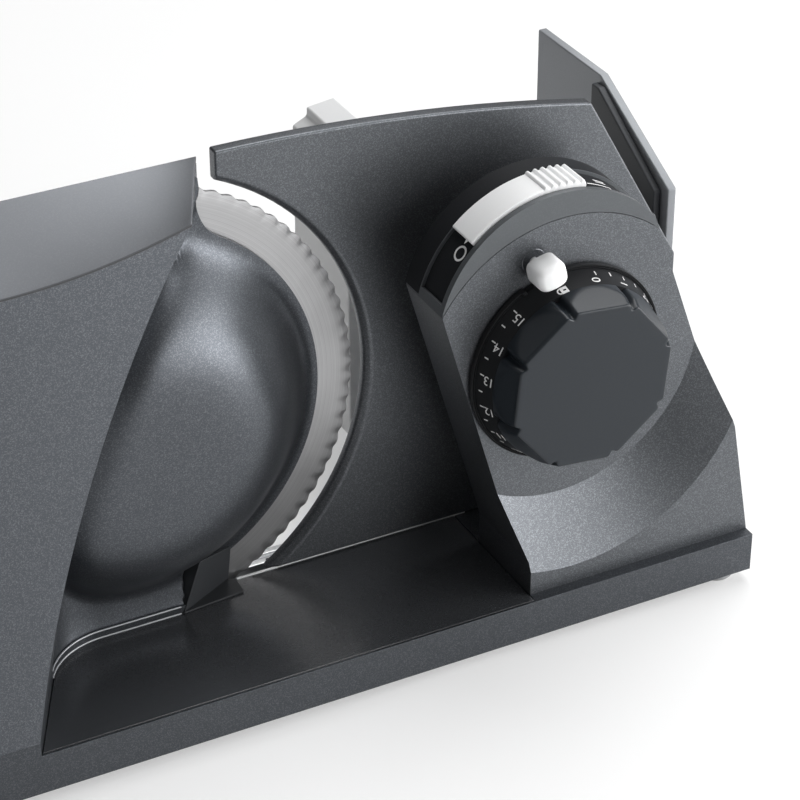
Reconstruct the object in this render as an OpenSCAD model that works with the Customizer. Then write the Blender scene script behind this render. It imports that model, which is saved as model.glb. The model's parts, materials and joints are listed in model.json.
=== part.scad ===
// Folding food slicer: round serrated blade, slice-thickness stop plate, sliding carriage with a
// folding feed leaf, and a control tower with a thickness knob and an arc switch.
// Datum while modelling: the right front top corner of the base. X runs along the machine to the right,
// Y runs away from the user's front, Z is up. place() moves the datum to the centre of the footprint.

/* [Base] */
// Length of the base from end to end
base_len = 345; // [330:1:370]
// Depth of the base in front of the blade
base_depth = 60; // [58:0.5:64]
// Height of the base's front strip
base_h = 15; // [14:0.5:20]
// Height of a rubber foot
foot_h = 4; // [3:0.5:8]
// Diameter of a rubber foot
foot_d = 13; // [10:0.5:16]
// Wall of the base's shell
base_wall = 2.5; // [2:0.1:3.5]
// Height of the plinth that carries the motor housing
plinth_h = 5; // [3:0.5:8]
// Thickness of the slice tray's inlay
tray_t = 1.6; // [1.2:0.1:2]
// Depth of the base's ledge behind the stop plate
ledge_depth = 6; // [5:0.5:7]

/* [Motor housing] */
// Height of the housing's rear top edge above the tray
housing_h = 165; // [160:1:175]
// Height of the front face's top edge at the left end
face_top_left = 149.5; // [145:0.5:152]
// Height of the front face's top edge at the right end
face_top_right = 158.4; // [154:0.5:160]
// Backward lean of the front face, as run over rise
face_lean = 0.2; // [0.15:0.01:0.25]
// Wall of the housing's shell
housing_wall = 2.5; // [2:0.1:3.5]
// Thickness of the smooth top panel
panel_t = 2; // [1.5:0.1:2.5]
// Distance of the front face's foot from the base's right end
face_foot_x = 269; // [264:1:274]
// Distance of the housing's top right corner from the base's right end
housing_end_x = 182; // [180:0.5:186]
// Turn of the housing's right side away from the depth direction, degrees
side_turn = 26.6; // [20:0.2:30]
// Hollow of the housing's right side between its foot and its top
side_sag = 7.7; // [5:0.1:10]

/* [Blade and drive] */
// Diameter of the blade over its teeth
blade_d = 170; // [166:1:174]
// Distance of the blade's axis from the base's right end
blade_x = 212.7; // [208:0.5:216]
// Height of the blade's axis above the tray
blade_z = 74; // [72:0.5:78]
// Thickness of the blade
blade_t = 1.6; // [1.2:0.1:2]
// Number of waves along the blade's edge
blade_waves = 75; // [60:1:90]
// Depth of a wave
wave_depth = 1.8; // [1:0.1:2.5]
// Radius of the gear cover where it meets the blade
cover_r = 71.5; // [68:0.5:74]
// Rise of the gear cover's dome
cover_rise = 32; // [31:0.5:36]
// Tooth module of the drive
tooth_module = 1; // [1:0.05:1.04]
// Teeth on the drive gear
gear_teeth = 110; // [100:1:112]
// Teeth on the motor pinion
pinion_teeth = 14; // [12:1:16]
// Width of the gear's teeth
gear_w = 6; // [4:0.5:6]
// Diameter of the blade spindle
spindle_d = 10; // [8:0.5:12]
// Diameter of the motor's can
motor_d = 50; // [40:1:54]
// Diameter of the motor's shaft
motor_shaft_d = 5; // [4:0.5:6]

/* [Stop plate] */
// Thickness of the stop plate
plate_t = 5; // [4:0.5:6]
// Height of the stop plate's left top corner
plate_top_left = 166; // [163:0.5:169]
// Height of the stop plate's right top corner
plate_top_right = 152.3; // [150:0.5:156]
// Distance of the stop plate's left end from the base's right end
plate_left = 176.3; // [174:0.5:178]
// Distance of the stop plate's right top corner from the base's right end
plate_corner_x = 38; // [34:0.5:44]
// Gap between the blade's teeth and the stop plate
blade_gap = 4; // [3:0.25:6]
// Travel of the stop plate, the thickest slice
plate_travel = 16; // [12:0.5:18]
// Diameter of a guide rod
rod_d = 6; // [5:0.5:8]

/* [Control tower] */
// Width of the tower's foot
tower_foot_w = 88.3; // [84:0.5:94]
// Setback of the tower's foot from the base's front
tower_setback = 4.3; // [3:0.1:6]
// Setback of the knob panel behind the foot's front
panel_setback = 11.7; // [8:0.1:13]
// Wall of the tower's shell
tower_wall = 2.5; // [2:0.1:3.5]
// Distance of the knob's axis from the base's right end
knob_x = 71.4; // [68:0.2:74]
// Height of the knob's axis above the tray
knob_z = 83.7; // [80:0.2:86]
// Radius of the round seam between the panel and the cap
seam_r = 53.6; // [52:0.1:54.5]
// Radius of the switch cap's top
cap_r = 45; // [43:0.25:46]
// Height of the centre of the cap's arc
cap_z = 101.5; // [100:0.25:104]
// Distance of the centre of the cap's arc from the base's right end
cap_x = 73.6; // [71:0.2:76]
// Radius of the scoop's edge on the foot's front
scoop_r = 67.8; // [64:0.2:70]

/* [Knob and switch] */
// Radius of the knob's flange
dial_r = 36; // [34:0.25:36.5]
// Radius of the knob's grip over its corners
grip_r = 31.5; // [29:0.25:32]
// Number of sides of the grip
grip_sides = 8; // [8:1:10]
// Height of the knob in front of the panel
knob_h = 20; // [17:0.5:23]
// Diameter of the knob's spindle
knob_spindle_d = 8; // [6:0.5:10]
// Radius of the lock button
button_r = 6.5; // [5:0.25:7]
// Travel of the lock button
button_travel = 2.5; // [1.5:0.1:3]
// Sweep of the switch slider, degrees
slider_sweep = 57; // [48:1:58]
// Travel of the switch slider, degrees
slider_travel = 14; // [10:1:14]
// Width of the switch slider across its channel
slider_w = 13; // [10:0.5:15]

/* [Carriage] */
// Length of the carriage along the rail
carriage_len = 104; // [96:1:112]
// Depth of the carriage's bed
carriage_depth = 95; // [90:1:100]
// Thickness of the carriage's bed
bed_t = 4; // [3:0.5:5]
// Thickness of the pusher wall
wall_t = 3.5; // [3:0.25:4.5]
// Height of the pusher wall's top above the tray
wall_top = 129; // [120:1:135]
// Depth of the level part of the pusher wall's top
wall_level = 45; // [35:1:55]
// Drop of the pusher wall's slanted edge
wall_drop = 24.4; // [18:0.5:32]
// Travel of the carriage along the rail
carriage_travel = 190; // [150:5:200]
// Reach of the folding leaf behind its hinge
leaf_reach = 73; // [60:1:80]
// Diameter of the hinge pin
hinge_pin_d = 3; // [2.5:0.1:3]

/* [Remnant holder] */
// Length of the holder along the machine
holder_len = 100; // [92:1:100]
// Depth of the holder
holder_depth = 45; // [40:1:50]
// Height of the holder's hand ridge above the tray
holder_top = 121.6; // [115:0.2:125]
// Width of the hand ridge
ridge_w = 17; // [14:0.5:20]
// Wall of the holder's shell
holder_wall = 2.5; // [2:0.1:3]
// Travel of the holder towards the blade
holder_travel = 40; // [30:1:44]

/* [Hidden] */
$fn = 96;

// Clearances: running fit on a radius, sliding fit, and air between separate pieces
run_gap = 0.05;
slide_gap = 0.3;
seam_gap = 0.2;
far = 600;

// Planes along the depth, from the front of the base
step_y = base_depth - 10.5;
blade_front = base_depth + 1.4;
blade_rear = blade_front + blade_t;
plate_rear = blade_rear + slide_gap;
plate_front = plate_rear - plate_t;
tower_front = tower_setback;
panel_y = tower_front + panel_setback;
tower_back = plate_front - plate_travel - 1.3;
knob_front = panel_y - knob_h;
cover_rim = blade_front - 0.6;
rail_front = base_depth + ledge_depth + 3;
rail_depth = 8;
bed_front = rail_front - 1;
bed_rear = bed_front + carriage_depth;
hinge_y = bed_rear + 3.5;
leaf_rear = hinge_y + leaf_reach;

// Heights
rail_top = -4;
rail_h = 6;
bed_bottom = 1;
bed_top = bed_bottom + bed_t;
hinge_z = bed_top - 2;
plate_bottom = 0.6;

// Carriage, measured at its rest place at the right end of the rail
wall_left = 2;
wall_right = wall_left + wall_t;
bed_left = wall_right - carriage_len;

// Move from the right front top corner of the base to the centre of the footprint
origin_x = (base_len - wall_right) / 2;
origin_y = -(knob_front + leaf_rear) / 2;
origin_z = base_h + foot_h;

module place() translate([origin_x, origin_y, origin_z]) children();

// Colours
speckle = [0.34, 0.36, 0.38];
smooth_dark = [0.22, 0.23, 0.25];
panel_grey = [0.52, 0.54, 0.56];
white = [0.92, 0.92, 0.92];
steel = [0.75, 0.76, 0.77];
rubber = [0.55, 0.56, 0.57];
brass = [0.72, 0.6, 0.3];

// A box from its low corner to its high corner
module block(low, high) translate(low) cube(high - low);

// A round bar along the depth direction
module bar_y(x, z, y0, y1, r) translate([x, y1, z]) rotate([90, 0, 0]) cylinder(r = r, h = y1 - y0);

// A round bar along the machine
module bar_x(y, z, x0, x1, r) translate([x0, y, z]) rotate([0, 90, 0]) cylinder(r = r, h = x1 - x0);

// An outline drawn in X and Z, drawn out along the depth
module prism_y(points, y0, y1)
    translate([0, y1, 0]) rotate([90, 0, 0]) linear_extrude(y1 - y0) polygon(points);

// An outline drawn in Y and Z, drawn out along the machine
module prism_x(points, x0, x1)
    translate([x0, 0, 0]) rotate([90, 0, 90]) linear_extrude(x1 - x0) polygon(points);

// A ring sector about an axis along the depth, angles counted from X towards Z
module sector_y(x, z, y0, y1, r0, r1, a0, a1)
    translate([x, 0, z]) rotate([90, 0, 0]) rotate([0, 0, a0])
        rotate_extrude(angle = a1 - a0) translate([r0, -y1]) square([r1 - r0, y1 - y0]);

// Places of the feet and of the screws under the base, from the right front corner
foot_margin = 9;
foot_places = [[-foot_margin, foot_margin], [-base_len + foot_margin, foot_margin],
    [-foot_margin, rail_front + rail_depth / 2], [-base_len + foot_margin, rail_front + rail_depth / 2]];
cover_t = 2;
screw_head_r = 3;
screw_r = 1.5;
bottom_screw_x = [-40, -base_len / 2, -base_len + 40];
bottom_screw_y = [12, base_depth - 12];
post_r = 4;

// Base

// The housing stands on a plinth whose edge follows the foot of its slanted right side. A lower step joins
// the plinth with a round corner and runs in front of the gear cover.
step_h = 3;
step_corner_r = 26;
plinth_x1 = -face_foot_x + base_depth * tan(side_turn);
step_corner_y = step_y - step_corner_r;
step_corner_x = -face_foot_x + (step_corner_r + step_corner_y * sin(side_turn)) / cos(side_turn);
step_corner_steps = 12;
module plinth(gap, low, high) translate([0, 0, low]) linear_extrude(high - low)
    polygon([[-base_len, 0], [-face_foot_x + gap, 0], [plinth_x1 + gap, base_depth],
        [-base_len, base_depth]]);
module step(gap, low, high) translate([0, 0, low]) linear_extrude(high - low)
    polygon(concat([[-face_foot_x + gap, 0]], [for (i = [0 : step_corner_steps])
        let (a = 180 - side_turn - (90 - side_turn) * i / step_corner_steps, r = step_corner_r - gap)
        [step_corner_x + r * cos(a), step_corner_y + r * sin(a)]],
        [[-deflector_x0 - seam_gap + gap, step_y - gap], [-deflector_x0 - seam_gap + gap, base_depth],
        [-face_foot_x + gap, base_depth]]));
ledge_x = blade_x - blade_d / 2 + 32;
cavity_top = -tray_t - base_wall;

module base_tray() color(speckle) place() {
    difference() {
        union() {
            difference() {
                union() {
                    block([-base_len, 0, -base_h], [0, base_depth, 0]);
                    block([-ledge_x, base_depth - 1, -base_h], [0, base_depth + ledge_depth, 0]);
                }
                block([-face_foot_x - 0.5, tray_rim, -tray_t], [-tower_foot_w, base_depth - tray_rim, 1]);
                block([-ledge_x + tray_rim, tray_rim, -tray_t],
                    [-tower_foot_w, base_depth + ledge_depth - tray_rim, 1]);
            }
            plinth(0, -tray_t - 0.5, plinth_h);
            step(0, -tray_t - 0.5, step_h);
        }
        block([-base_len + base_wall, base_wall, -base_h - 1],
            [-base_wall, base_depth - base_wall, cavity_top]);
    }
    for (x = bottom_screw_x, y = bottom_screw_y) difference() {
        translate([x, y, -base_h + cover_t]) cylinder(r = post_r, h = cavity_top + base_h - cover_t + 0.5);
        translate([x, y, -base_h]) cylinder(r = screw_r, h = screw_len + 1);
    }
}
tray_rim = 1;
screw_len = 7;

module slice_tray() color(smooth_dark) place() difference() {
    union() {
        block([-face_foot_x + seam_gap, tray_rim + seam_gap, -tray_t],
            [-tower_foot_w - seam_gap, base_depth - tray_rim - seam_gap, 0]);
        block([-ledge_x + tray_rim + seam_gap, tray_rim + seam_gap, -tray_t],
            [-tower_foot_w - seam_gap, base_depth + ledge_depth - tray_rim - seam_gap, 0]);
    }
    plinth(seam_gap, -tray_t - 1, 1);
    step(seam_gap, -tray_t - 1, 1);
}

module bottom_cover() color(smooth_dark) place() difference() {
    block([-base_len + base_wall + seam_gap, base_wall + seam_gap, -base_h],
        [-base_wall - seam_gap, base_depth - base_wall - seam_gap, -base_h + cover_t]);
    for (x = bottom_screw_x, y = bottom_screw_y)
        translate([x, y, -base_h - 1]) cylinder(r = screw_r, h = cover_t + 2);
    for (i = [0 : vent_count - 1])
        block([-base_len + 70 + i * vent_pitch, 22, -base_h - 1],
            [-base_len + 70 + i * vent_pitch + vent_w, 40, -base_h + cover_t + 1]);
}
vent_count = 8;
vent_pitch = 7;
vent_w = 3;

module bottom_screws() color(steel) place()
    for (x = bottom_screw_x, y = bottom_screw_y) {
        translate([x, y, -base_h - 1.6]) cylinder(r = screw_head_r, h = 1.6);
        translate([x, y, -base_h - 0.1]) cylinder(r = screw_r - run_gap, h = screw_len);
    }

module rubber_feet() color(rubber) place()
    for (p = foot_places) translate([p[0], p[1], -base_h - foot_h]) cylinder(d = foot_d, h = foot_h);

// Motor housing: a leaning front face, a slanted hollow right side and a sloping top

// Front of the housing at a height, and the wall's shift along the depth for an inset
function face_y(z) = face_lean * (z - plinth_h);
side_run = sin(side_turn);
side_across = cos(side_turn);
// Distance across the right side's own direction of the foot and of the top corner
side_foot = -face_foot_x * side_across;
side_top = -housing_end_x * side_across - base_depth * side_run;
side_mid = [(side_foot + side_top) / 2, (plinth_h + face_top_right) / 2];
side_chord = [side_top - side_foot, face_top_right - plinth_h];
side_len = norm(side_chord);
side_r = side_len * side_len / 8 / side_sag + side_sag / 2;
side_centre = side_mid + (side_r - side_sag) * [side_chord[1], -side_chord[0]] / side_len;

// The space to the right of the housing's side
module right_side(inset) rotate([0, 0, -side_turn]) {
    bar_y(side_centre[0], side_centre[1], -far, far, side_r + inset);
    block([side_top - inset, -far, side_mid[1]], [far, far, far]);
}

// The housing with its walls drawn in by an inset, with an open rear and an open foot
function form_bottom(inset) = inset > 0 ? plinth_h - 1 : plinth_h;
face_slope = norm([1, face_lean]);
module housing_form(inset, rear) difference() {
    prism_x([[face_y(form_bottom(inset)) + inset * face_slope, form_bottom(inset)],
        [face_y(housing_h) + inset * face_slope, housing_h], [rear, housing_h], [rear, form_bottom(inset)]],
        -base_len + inset, 0);
    right_side(inset);
    top_slab(inset > 0 ? -panel_t - inset : -inset, top_clear, cut_front, cut_rear);
}

// What lies above the housing's sloping top: a ruled face from a level rear edge to a rising front edge
top_steps = 24;
top_x0 = -base_len - 1;
top_x1 = -housing_end_x + 40;
face_bend_x = 262;
face_bend_end = 15;
function front_rise(x) = let (s = max(0, (x + face_bend_x) / (face_bend_x - housing_end_x - face_bend_end)))
    face_top_left + (face_top_right - face_top_left) * s * s;
function top_x(i) = i == 0 ? top_x0 : -face_bend_x + (top_x1 + face_bend_x) * (i - 1) / (top_steps - 1);
// Height of the top at a depth, on the straight line from the front edge to the rear edge
function top_z(x, y) = let (y0 = face_y(front_rise(x)), z0 = front_rise(x))
    z0 + (housing_h - z0) * (y - y0) / (base_depth - y0);
cut_front = -20;
cut_rear = 80;
module top_slab(low, high, y0, y1) {
    points = [for (i = [0 : top_steps]) let (x = top_x(i)) each [[x, y0, top_z(x, y0) + low],
        [x, y1, top_z(x, y1) + low], [x, y1, top_z(x, y1) + high], [x, y0, top_z(x, y0) + high]]];
    sides = [for (i = [0 : top_steps - 1], k = [0 : 3]) let (a = 4 * i + k, b = 4 * i + (k + 1) % 4)
        each [[a, b + 4, b], [a, a + 4, b + 4]]];
    last = 4 * top_steps;
    polyhedron(points, concat(sides, [[0, 1, 2, 3], [last + 3, last + 2, last + 1, last]]));
}
top_clear = 60;

// The space of the smooth top panel, inside a thin rim of the housing's front and left walls
panel_rim = 0.9;
module panel_space(rim, low, high, rear, reach) difference() {
    intersection() {
        top_slab(low, high, cut_front + 5, base_depth + 5);
        prism_x([[face_y(plinth_h) + rim, plinth_h], [face_y(2 * housing_h) + rim, 2 * housing_h],
            [rear, 2 * housing_h], [rear, plinth_h]], -base_len + rim, 0);
    }
    right_side(reach);
}

carrier_rear = 49;
carrier_t = 3;
carrier_front = carrier_rear - carrier_t;
centre_distance = tooth_module * (gear_teeth + pinion_teeth) / 2;
motor_x = -blade_x - centre_distance;
boss_r = 5;
boss_z = [blade_z - motor_d / 2 - boss_r - 3, blade_z + motor_d / 2 + boss_r + 3];
rear_t = 2.4;
rear_plane = base_depth;

module motor_housing() color(speckle) place() {
    difference() {
        housing_form(0, rear_plane);
        housing_form(housing_wall, rear_plane + 1);
        panel_space(panel_rim, -panel_t, top_clear / 2, base_depth + 2, -2);
        bar_y(-blade_x, blade_z, carrier_front - 2, far, cover_r + seam_gap);
        bar_x(inlet_y, inlet_z, -base_len - 1, -base_len + housing_wall + 1, inlet_r);
    }
    for (i = [0 : 1]) intersection() {
        housing_form(0.5, rear_plane);
        difference() {
            bar_y(motor_x, boss_z[i], 0, carrier_front, boss_r);
            bar_y(motor_x, boss_z[i], carrier_front - 12, carrier_front + 1, screw_r);
        }
    }
}
inlet_y = 34;
inlet_z = 22;
inlet_r = 6;

module top_panel() color(panel_grey) place()
    panel_space(panel_rim + seam_gap / 2, -panel_t + 0.02, 0, base_depth - seam_gap / 2, 0);

module rear_cover() color(smooth_dark) place() {
    difference() {
        intersection() {
            housing_form(housing_wall + seam_gap, rear_plane);
            block([-far, rear_plane - rear_t, plinth_h], [0, rear_plane, far]);
        }
        bar_y(-blade_x, blade_z, 0, far, cover_r + seam_gap);
        for (p = rear_screw_places) bar_y(p[0], p[1], 0, far, screw_r);
    }
    // Lip round the hidden part of the blade's edge
    sector_y(-blade_x, blade_z, rear_plane - 1, blade_rear + 1.5, guard_r, guard_r + 2.2, 112, 230);
}
guard_r = blade_d / 2 + 1.4;
rear_screw_places = [[-base_len + 16, plinth_h + 14], [-base_len + 16, housing_h - 34]];

module rear_screws() color(steel) place()
    for (p = rear_screw_places) {
        bar_y(p[0], p[1], rear_plane, rear_plane + 1.6, screw_head_r);
        bar_y(p[0], p[1], rear_plane - 8, rear_plane + 0.1, screw_r - run_gap);
    }

// Gear cover: a swelling dome over the drive, cut by the housing's side. A foot brings it forward to the step
// and a flare runs up to the housing's end at the top.

cover_wall = 2.2;
deflector_x0 = blade_x - 15.5;
deflector_x1 = blade_x - 38.5;
cover_fall = 2.6;
cover_rings = 16;
flare_from = 55;
flare_to = 72;
flare_reach = 24;
flare_drop = 4;
flare_t = 3;
cover_foot_h = 8;
// Swell of the dome from 1 at the axis to 0 at the rim
function swell(t) = (1 + cos(180 * pow(t, cover_fall))) / 2;
function cover_y(t, wall) = cover_rim - (cover_rise - wall) * swell(t);
module dome(wall, rear) translate([-blade_x, 0, blade_z]) rotate([90, 0, 0]) rotate_extrude()
    polygon(concat([[0, -rear]],
        [for (k = [0 : cover_rings]) let (t = k / cover_rings) [t * (cover_r - wall), -cover_y(t, wall)]],
        rear > cover_rim ? [[cover_r - wall, -rear]] : []));
function flare_r(a) = let (s = min(1, max(0, (a - flare_from) / (flare_to - flare_from))))
    min(cover_r + flare_reach * pow(s, 3), (housing_h - flare_drop - blade_z) / sin(a));
module cover_flare() prism_y(concat([[-blade_x, blade_z + cover_r / 2]],
    [for (a = [flare_from : 1 : 105]) [-blade_x + flare_r(a) * cos(a), blade_z + flare_r(a) * sin(a)]]),
    cover_rim - flare_t, cover_rim);
module cover_foot() prism_x([[step_y + 0.3, step_h], [step_y + 5, step_h + cover_foot_h],
    [cover_rim, step_h + cover_foot_h], [cover_rim, step_h]], -blade_x - cover_r, -deflector_x0 - seam_gap);

module gear_cover() color(speckle) place() difference() {
    intersection() {
        union() {
            dome(0, cover_rim);
            cover_flare();
            cover_foot();
        }
        right_side(-seam_gap);
    }
    dome(cover_wall, cover_rim + 1);
    block([-far, -far, -far], [far, far, step_h]);
    plinth(seam_gap, -1, plinth_h + seam_gap);
    slice_wedge(seam_gap, far);
}

// Wedge that lifts the slices off the blade, with a flat tongue on the tray
wedge_h = 20.5;
wedge_top = 10.5;
tongue_t = 1.2;
tongue_reach = 5.5;
module slice_wedge(gap, rear) prism_y([[-deflector_x0 - gap, 0], [-deflector_x1 + gap, 0],
    [-deflector_x1 - 2.5 + gap, wedge_h + gap], [-deflector_x1 - 2.5 - wedge_top, wedge_h - 3 + gap],
    [-deflector_x0 + 2 - gap, step_h]], step_y - gap, rear);
module slice_deflector() color(smooth_dark) place() difference() {
    union() {
        slice_wedge(0, cover_rim);
        block([-deflector_x1 - 1, step_y, 0], [-deflector_x1 + tongue_reach, step_y + 5, tongue_t]);
    }
    // The face towards the slices is hollowed
    prism_x([[step_y - 1, tongue_t], [step_y + 5, tongue_t], [step_y - 1, wedge_h - 4]],
        -deflector_x0 + 4, far);
}

// Drive inside the housing

carrier_half = 12;
carrier_arm = 22;
module gear_carrier() color(steel) place() difference() {
    union() {
        block([motor_x - carrier_half, carrier_front, boss_z[0] - boss_r - 2],
            [motor_x + carrier_half, carrier_rear, boss_z[1] + boss_r + 2]);
        block([motor_x, carrier_front, blade_z - carrier_arm],
            [-blade_x + bush_r + 5, carrier_rear, blade_z + carrier_arm]);
    }
    bar_y(-blade_x, blade_z, 0, far, bush_r + run_gap);
    bar_y(motor_x, blade_z, 0, far, motor_shaft_d / 2 + 1);
    for (i = [0 : 1]) bar_y(motor_x, boss_z[i], 0, far, screw_r);
}
bush_r = spindle_d / 2 + 4;
bush_front = carrier_front - 10;

module spindle_bush() color(brass) place() difference() {
    union() {
        bar_y(-blade_x, blade_z, bush_front, carrier_rear, bush_r);
        bar_y(-blade_x, blade_z, carrier_front - 3, carrier_front, bush_r + 3);
    }
    bar_y(-blade_x, blade_z, 0, far, spindle_d / 2 + run_gap);
}

motor_front = face_y(blade_z + motor_d / 2) + housing_wall + 1.5;

module motor_can() color(steel) place() difference() {
    union() {
        bar_y(motor_x, blade_z, motor_front, carrier_front, motor_d / 2);
    }
    bar_y(motor_x, blade_z, motor_front + 2, far, motor_shaft_d / 2 + run_gap);
}

module cord_inlet() color(smooth_dark) place() difference() {
    union() {
        bar_x(inlet_y, inlet_z, -base_len - 0, -base_len + housing_wall + 4, inlet_r - run_gap);
        bar_x(inlet_y, inlet_z, -base_len + housing_wall, -base_len + housing_wall + 2.5, inlet_r + 2);
    }
    bar_x(inlet_y, inlet_z, -base_len - 2, -base_len + 20, 3.5);
}

// Blade group: turns about the depth direction

wave_steps = 6;
wave_lean = 1.4;
function wave(s) = (1 - cos(360 * pow(s, wave_lean))) / 2;
module blade() color(steel) place() difference() {
    translate([-blade_x, blade_rear, blade_z]) rotate([90, 0, 0]) linear_extrude(blade_t)
        polygon([for (i = [0 : blade_waves - 1], k = [0 : wave_steps - 1])
            let (s = k / wave_steps, a = 360 * (i + s) / blade_waves, r = blade_d / 2 - wave_depth * wave(s))
            r * [cos(a), sin(a)]]);
    bar_y(-blade_x, blade_z, 0, far, hub_r);
}
hub_r = 19;
hub_front = blade_front - 3;

module blade_hub() color(smooth_dark) place() difference() {
    union() {
        bar_y(-blade_x, blade_z, hub_front, blade_front, hub_r + 8);
        bar_y(-blade_x, blade_z, blade_front, blade_rear, hub_r);
    }
    bar_y(-blade_x, blade_z, 0, far, spindle_d / 2);
}

gear_front = hub_front - 1.2 - gear_w;
function tooth_outline(teeth, phase) = [for (i = [0 : teeth - 1], k = [0 : 3])
    let (pitch = 360 / teeth, m = tooth_module, a = pitch * i + phase + pitch * [-0.27, -0.13, 0.13, 0.27][k],
        r = m * teeth / 2 + m * [-1.15, 0.8, 0.8, -1.15][k]) r * [cos(a), sin(a)]];

module gear_body(x, teeth, phase, y0, y1) translate([x, y1, blade_z]) rotate([90, 0, 0])
    linear_extrude(y1 - y0) polygon(tooth_outline(teeth, phase));

module drive_gear() color(white) place() difference() {
    union() {
        gear_body(-blade_x, gear_teeth, 180, gear_front, gear_front + gear_w);
        bar_y(-blade_x, blade_z, gear_front, hub_front, spindle_d / 2 + 8);
    }
    bar_y(-blade_x, blade_z, 0, far, spindle_d / 2);
}

module blade_spindle() color(steel) place()
    bar_y(-blade_x, blade_z, bush_front + 1, blade_rear, spindle_d / 2);

lock_t = 2.4;
module blade_lock() color(smooth_dark) place() difference() {
    bar_y(-blade_x, blade_z, blade_rear, blade_rear + lock_t, hub_r - 3);
    block([-blade_x - hub_r, blade_rear + 1.2, blade_z - 1.5], [-blade_x + hub_r, far, blade_z + 1.5]);
}

// Motor rotor: turns about its own axis in mesh with the drive gear

module motor_shaft() color(steel) place()
    bar_y(motor_x, blade_z, motor_front + 2.5, gear_front + gear_w, motor_shaft_d / 2);

module motor_pinion() color(brass) place() difference() {
    gear_body(motor_x, pinion_teeth, 180 / pinion_teeth, gear_front, gear_front + gear_w);
    bar_y(motor_x, blade_z, 0, far, motor_shaft_d / 2);
}

// Control tower: a leaning block with a round scoop below the knob and an arched cap

foot_kink = 12.5;
left_lean = 0.293;
right_kink = [-8, 45];
right_lean = 0.354;
tower_tall = 170;
function tower_left(z) = -tower_foot_w - left_lean * (z - foot_kink);
function tower_right(z) = right_kink[0] - right_lean * (z - right_kink[1]);
// Ends of the seam and of the cap's arc on the tower's leaning sides
seam_left_z = knob_z + 27.8;
seam_right_z = knob_z + 40.3;
cap_left_z = cap_z + 10;
cap_right_z = cap_z + 28.5;

// The tower with its sides drawn in by an inset, under a line between two heights on its sides
module tower_sides(inset, z_left, z_right, y0, y1)
    prism_y([[-inset, inset], [right_kink[0] - inset, right_kink[1]],
        [tower_right(z_right) - inset * norm([1, right_lean]), z_right],
        [tower_left(z_left) + inset * norm([1, left_lean]), z_left], [-tower_foot_w + inset, foot_kink],
        [-tower_foot_w + inset, inset]], y0, y1);

module tower_form(inset, y0, y1) {
    tower_sides(inset, cap_left_z, cap_right_z, y0, y1);
    intersection() {
        tower_sides(inset, tower_tall, tower_tall, y0, y1);
        bar_y(-cap_x, cap_z, y0, y1, cap_r - inset);
    }
}

// The part of the tower under the round seam
module under_seam(gap, y0, y1) {
    bar_y(-knob_x, knob_z, y0, y1, seam_r - gap);
    prism_y([[-far, -1], [far, -1], [far, seam_right_z + (seam_right_z - seam_left_z) * 4],
        [tower_right(seam_right_z), seam_right_z], [tower_left(seam_left_z), seam_left_z],
        [-far, seam_left_z - (seam_right_z - seam_left_z) * 4]], y0, y1);
}

scoop_z = 75.1;
module scoop() hull() {
    bar_y(-knob_x, knob_z, panel_y - 0.01, panel_y, seam_r - 0.9, $fn = 64);
    bar_y(-knob_x, scoop_z, tower_front - 0.01, tower_front, scoop_r, $fn = 64);
    bar_y(-knob_x, scoop_z - 0.8, tower_front - 1, tower_front - 0.99, scoop_r + 1.4, $fn = 64);
}

module control_housing() color(speckle) place() {
    difference() {
        union() {
            intersection() {
                tower_form(0, panel_y, tower_back);
                under_seam(0, panel_y - 1, tower_back + 1);
            }
            difference() {
                intersection() {
                    tower_form(0, tower_front, panel_y);
                    block([-far, 0, 0], [far, far, knob_z + 4]);
                }
                scoop();
            }
        }
        intersection() {
            tower_form(tower_wall, panel_y + tower_wall, tower_back + 1);
            under_seam(tower_wall, panel_y, tower_back + 2);
        }
        for (x = rod_x)
            bar_y(x, rod_z, rod_front - plate_travel - 1, panel_y + tower_wall + 1, rod_d / 2 + rod_room);
        bar_y(-knob_x, knob_z, 0, far, knob_bush_r + run_gap);
        bar_y(button_x, button_z, 0, panel_y + tower_wall + 1, stem_r + run_gap);
    }
}

module switch_cap() color(smooth_dark) place() difference() {
    tower_form(0, panel_y, tower_back);
    under_seam(-seam_gap, panel_y - 1, tower_back + 1);
    sector_y(-cap_x, cap_z, channel_front, channel_rear, channel_r, cap_r + 3, channel_a0, channel_a1);
}
// The switch's track: shallow, out to the cap's right end and short of its left end
channel_front = panel_y + 2.3;
channel_rear = channel_front + slider_w + 0.8;
channel_r = cap_r - 1.2;
slider_a0 = 77;
channel_a0 = 30;
channel_a1 = slider_a0 + slider_sweep + 28.5;

module control_rear_cover() color(smooth_dark) place() difference() {
    intersection() {
        tower_form(tower_wall + seam_gap, tower_back - 2.4, tower_back);
        under_seam(tower_wall + seam_gap, 0, far);
    }
    for (x = rod_x) bar_y(x, rod_z, 0, far, rod_bush_r + run_gap);
    bar_y(-knob_x, knob_z - follower_offset, 0, far, follower_r + 0.4);
}

micro_x = -knob_x + 20;
micro_y = panel_y + tower_wall;
micro_z = knob_z + 26;
micro_size = [20, 10, 8];
module micro_switch() color(smooth_dark) place()
    translate([micro_x - micro_size[0] / 2, micro_y, micro_z - micro_size[2] / 2]) cube(micro_size);

knob_bush_r = knob_spindle_d / 2 + 3;
module knob_bush() color(brass) place() difference() {
    union() {
        bar_y(-knob_x, knob_z, panel_y, panel_y + tower_wall + 3, knob_bush_r);
        bar_y(-knob_x, knob_z, panel_y + tower_wall, panel_y + tower_wall + 2, knob_bush_r + 2);
    }
    bar_y(-knob_x, knob_z, 0, far, knob_spindle_d / 2 + run_gap);
}

// Stop plate group: slides towards the front on two rods

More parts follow.
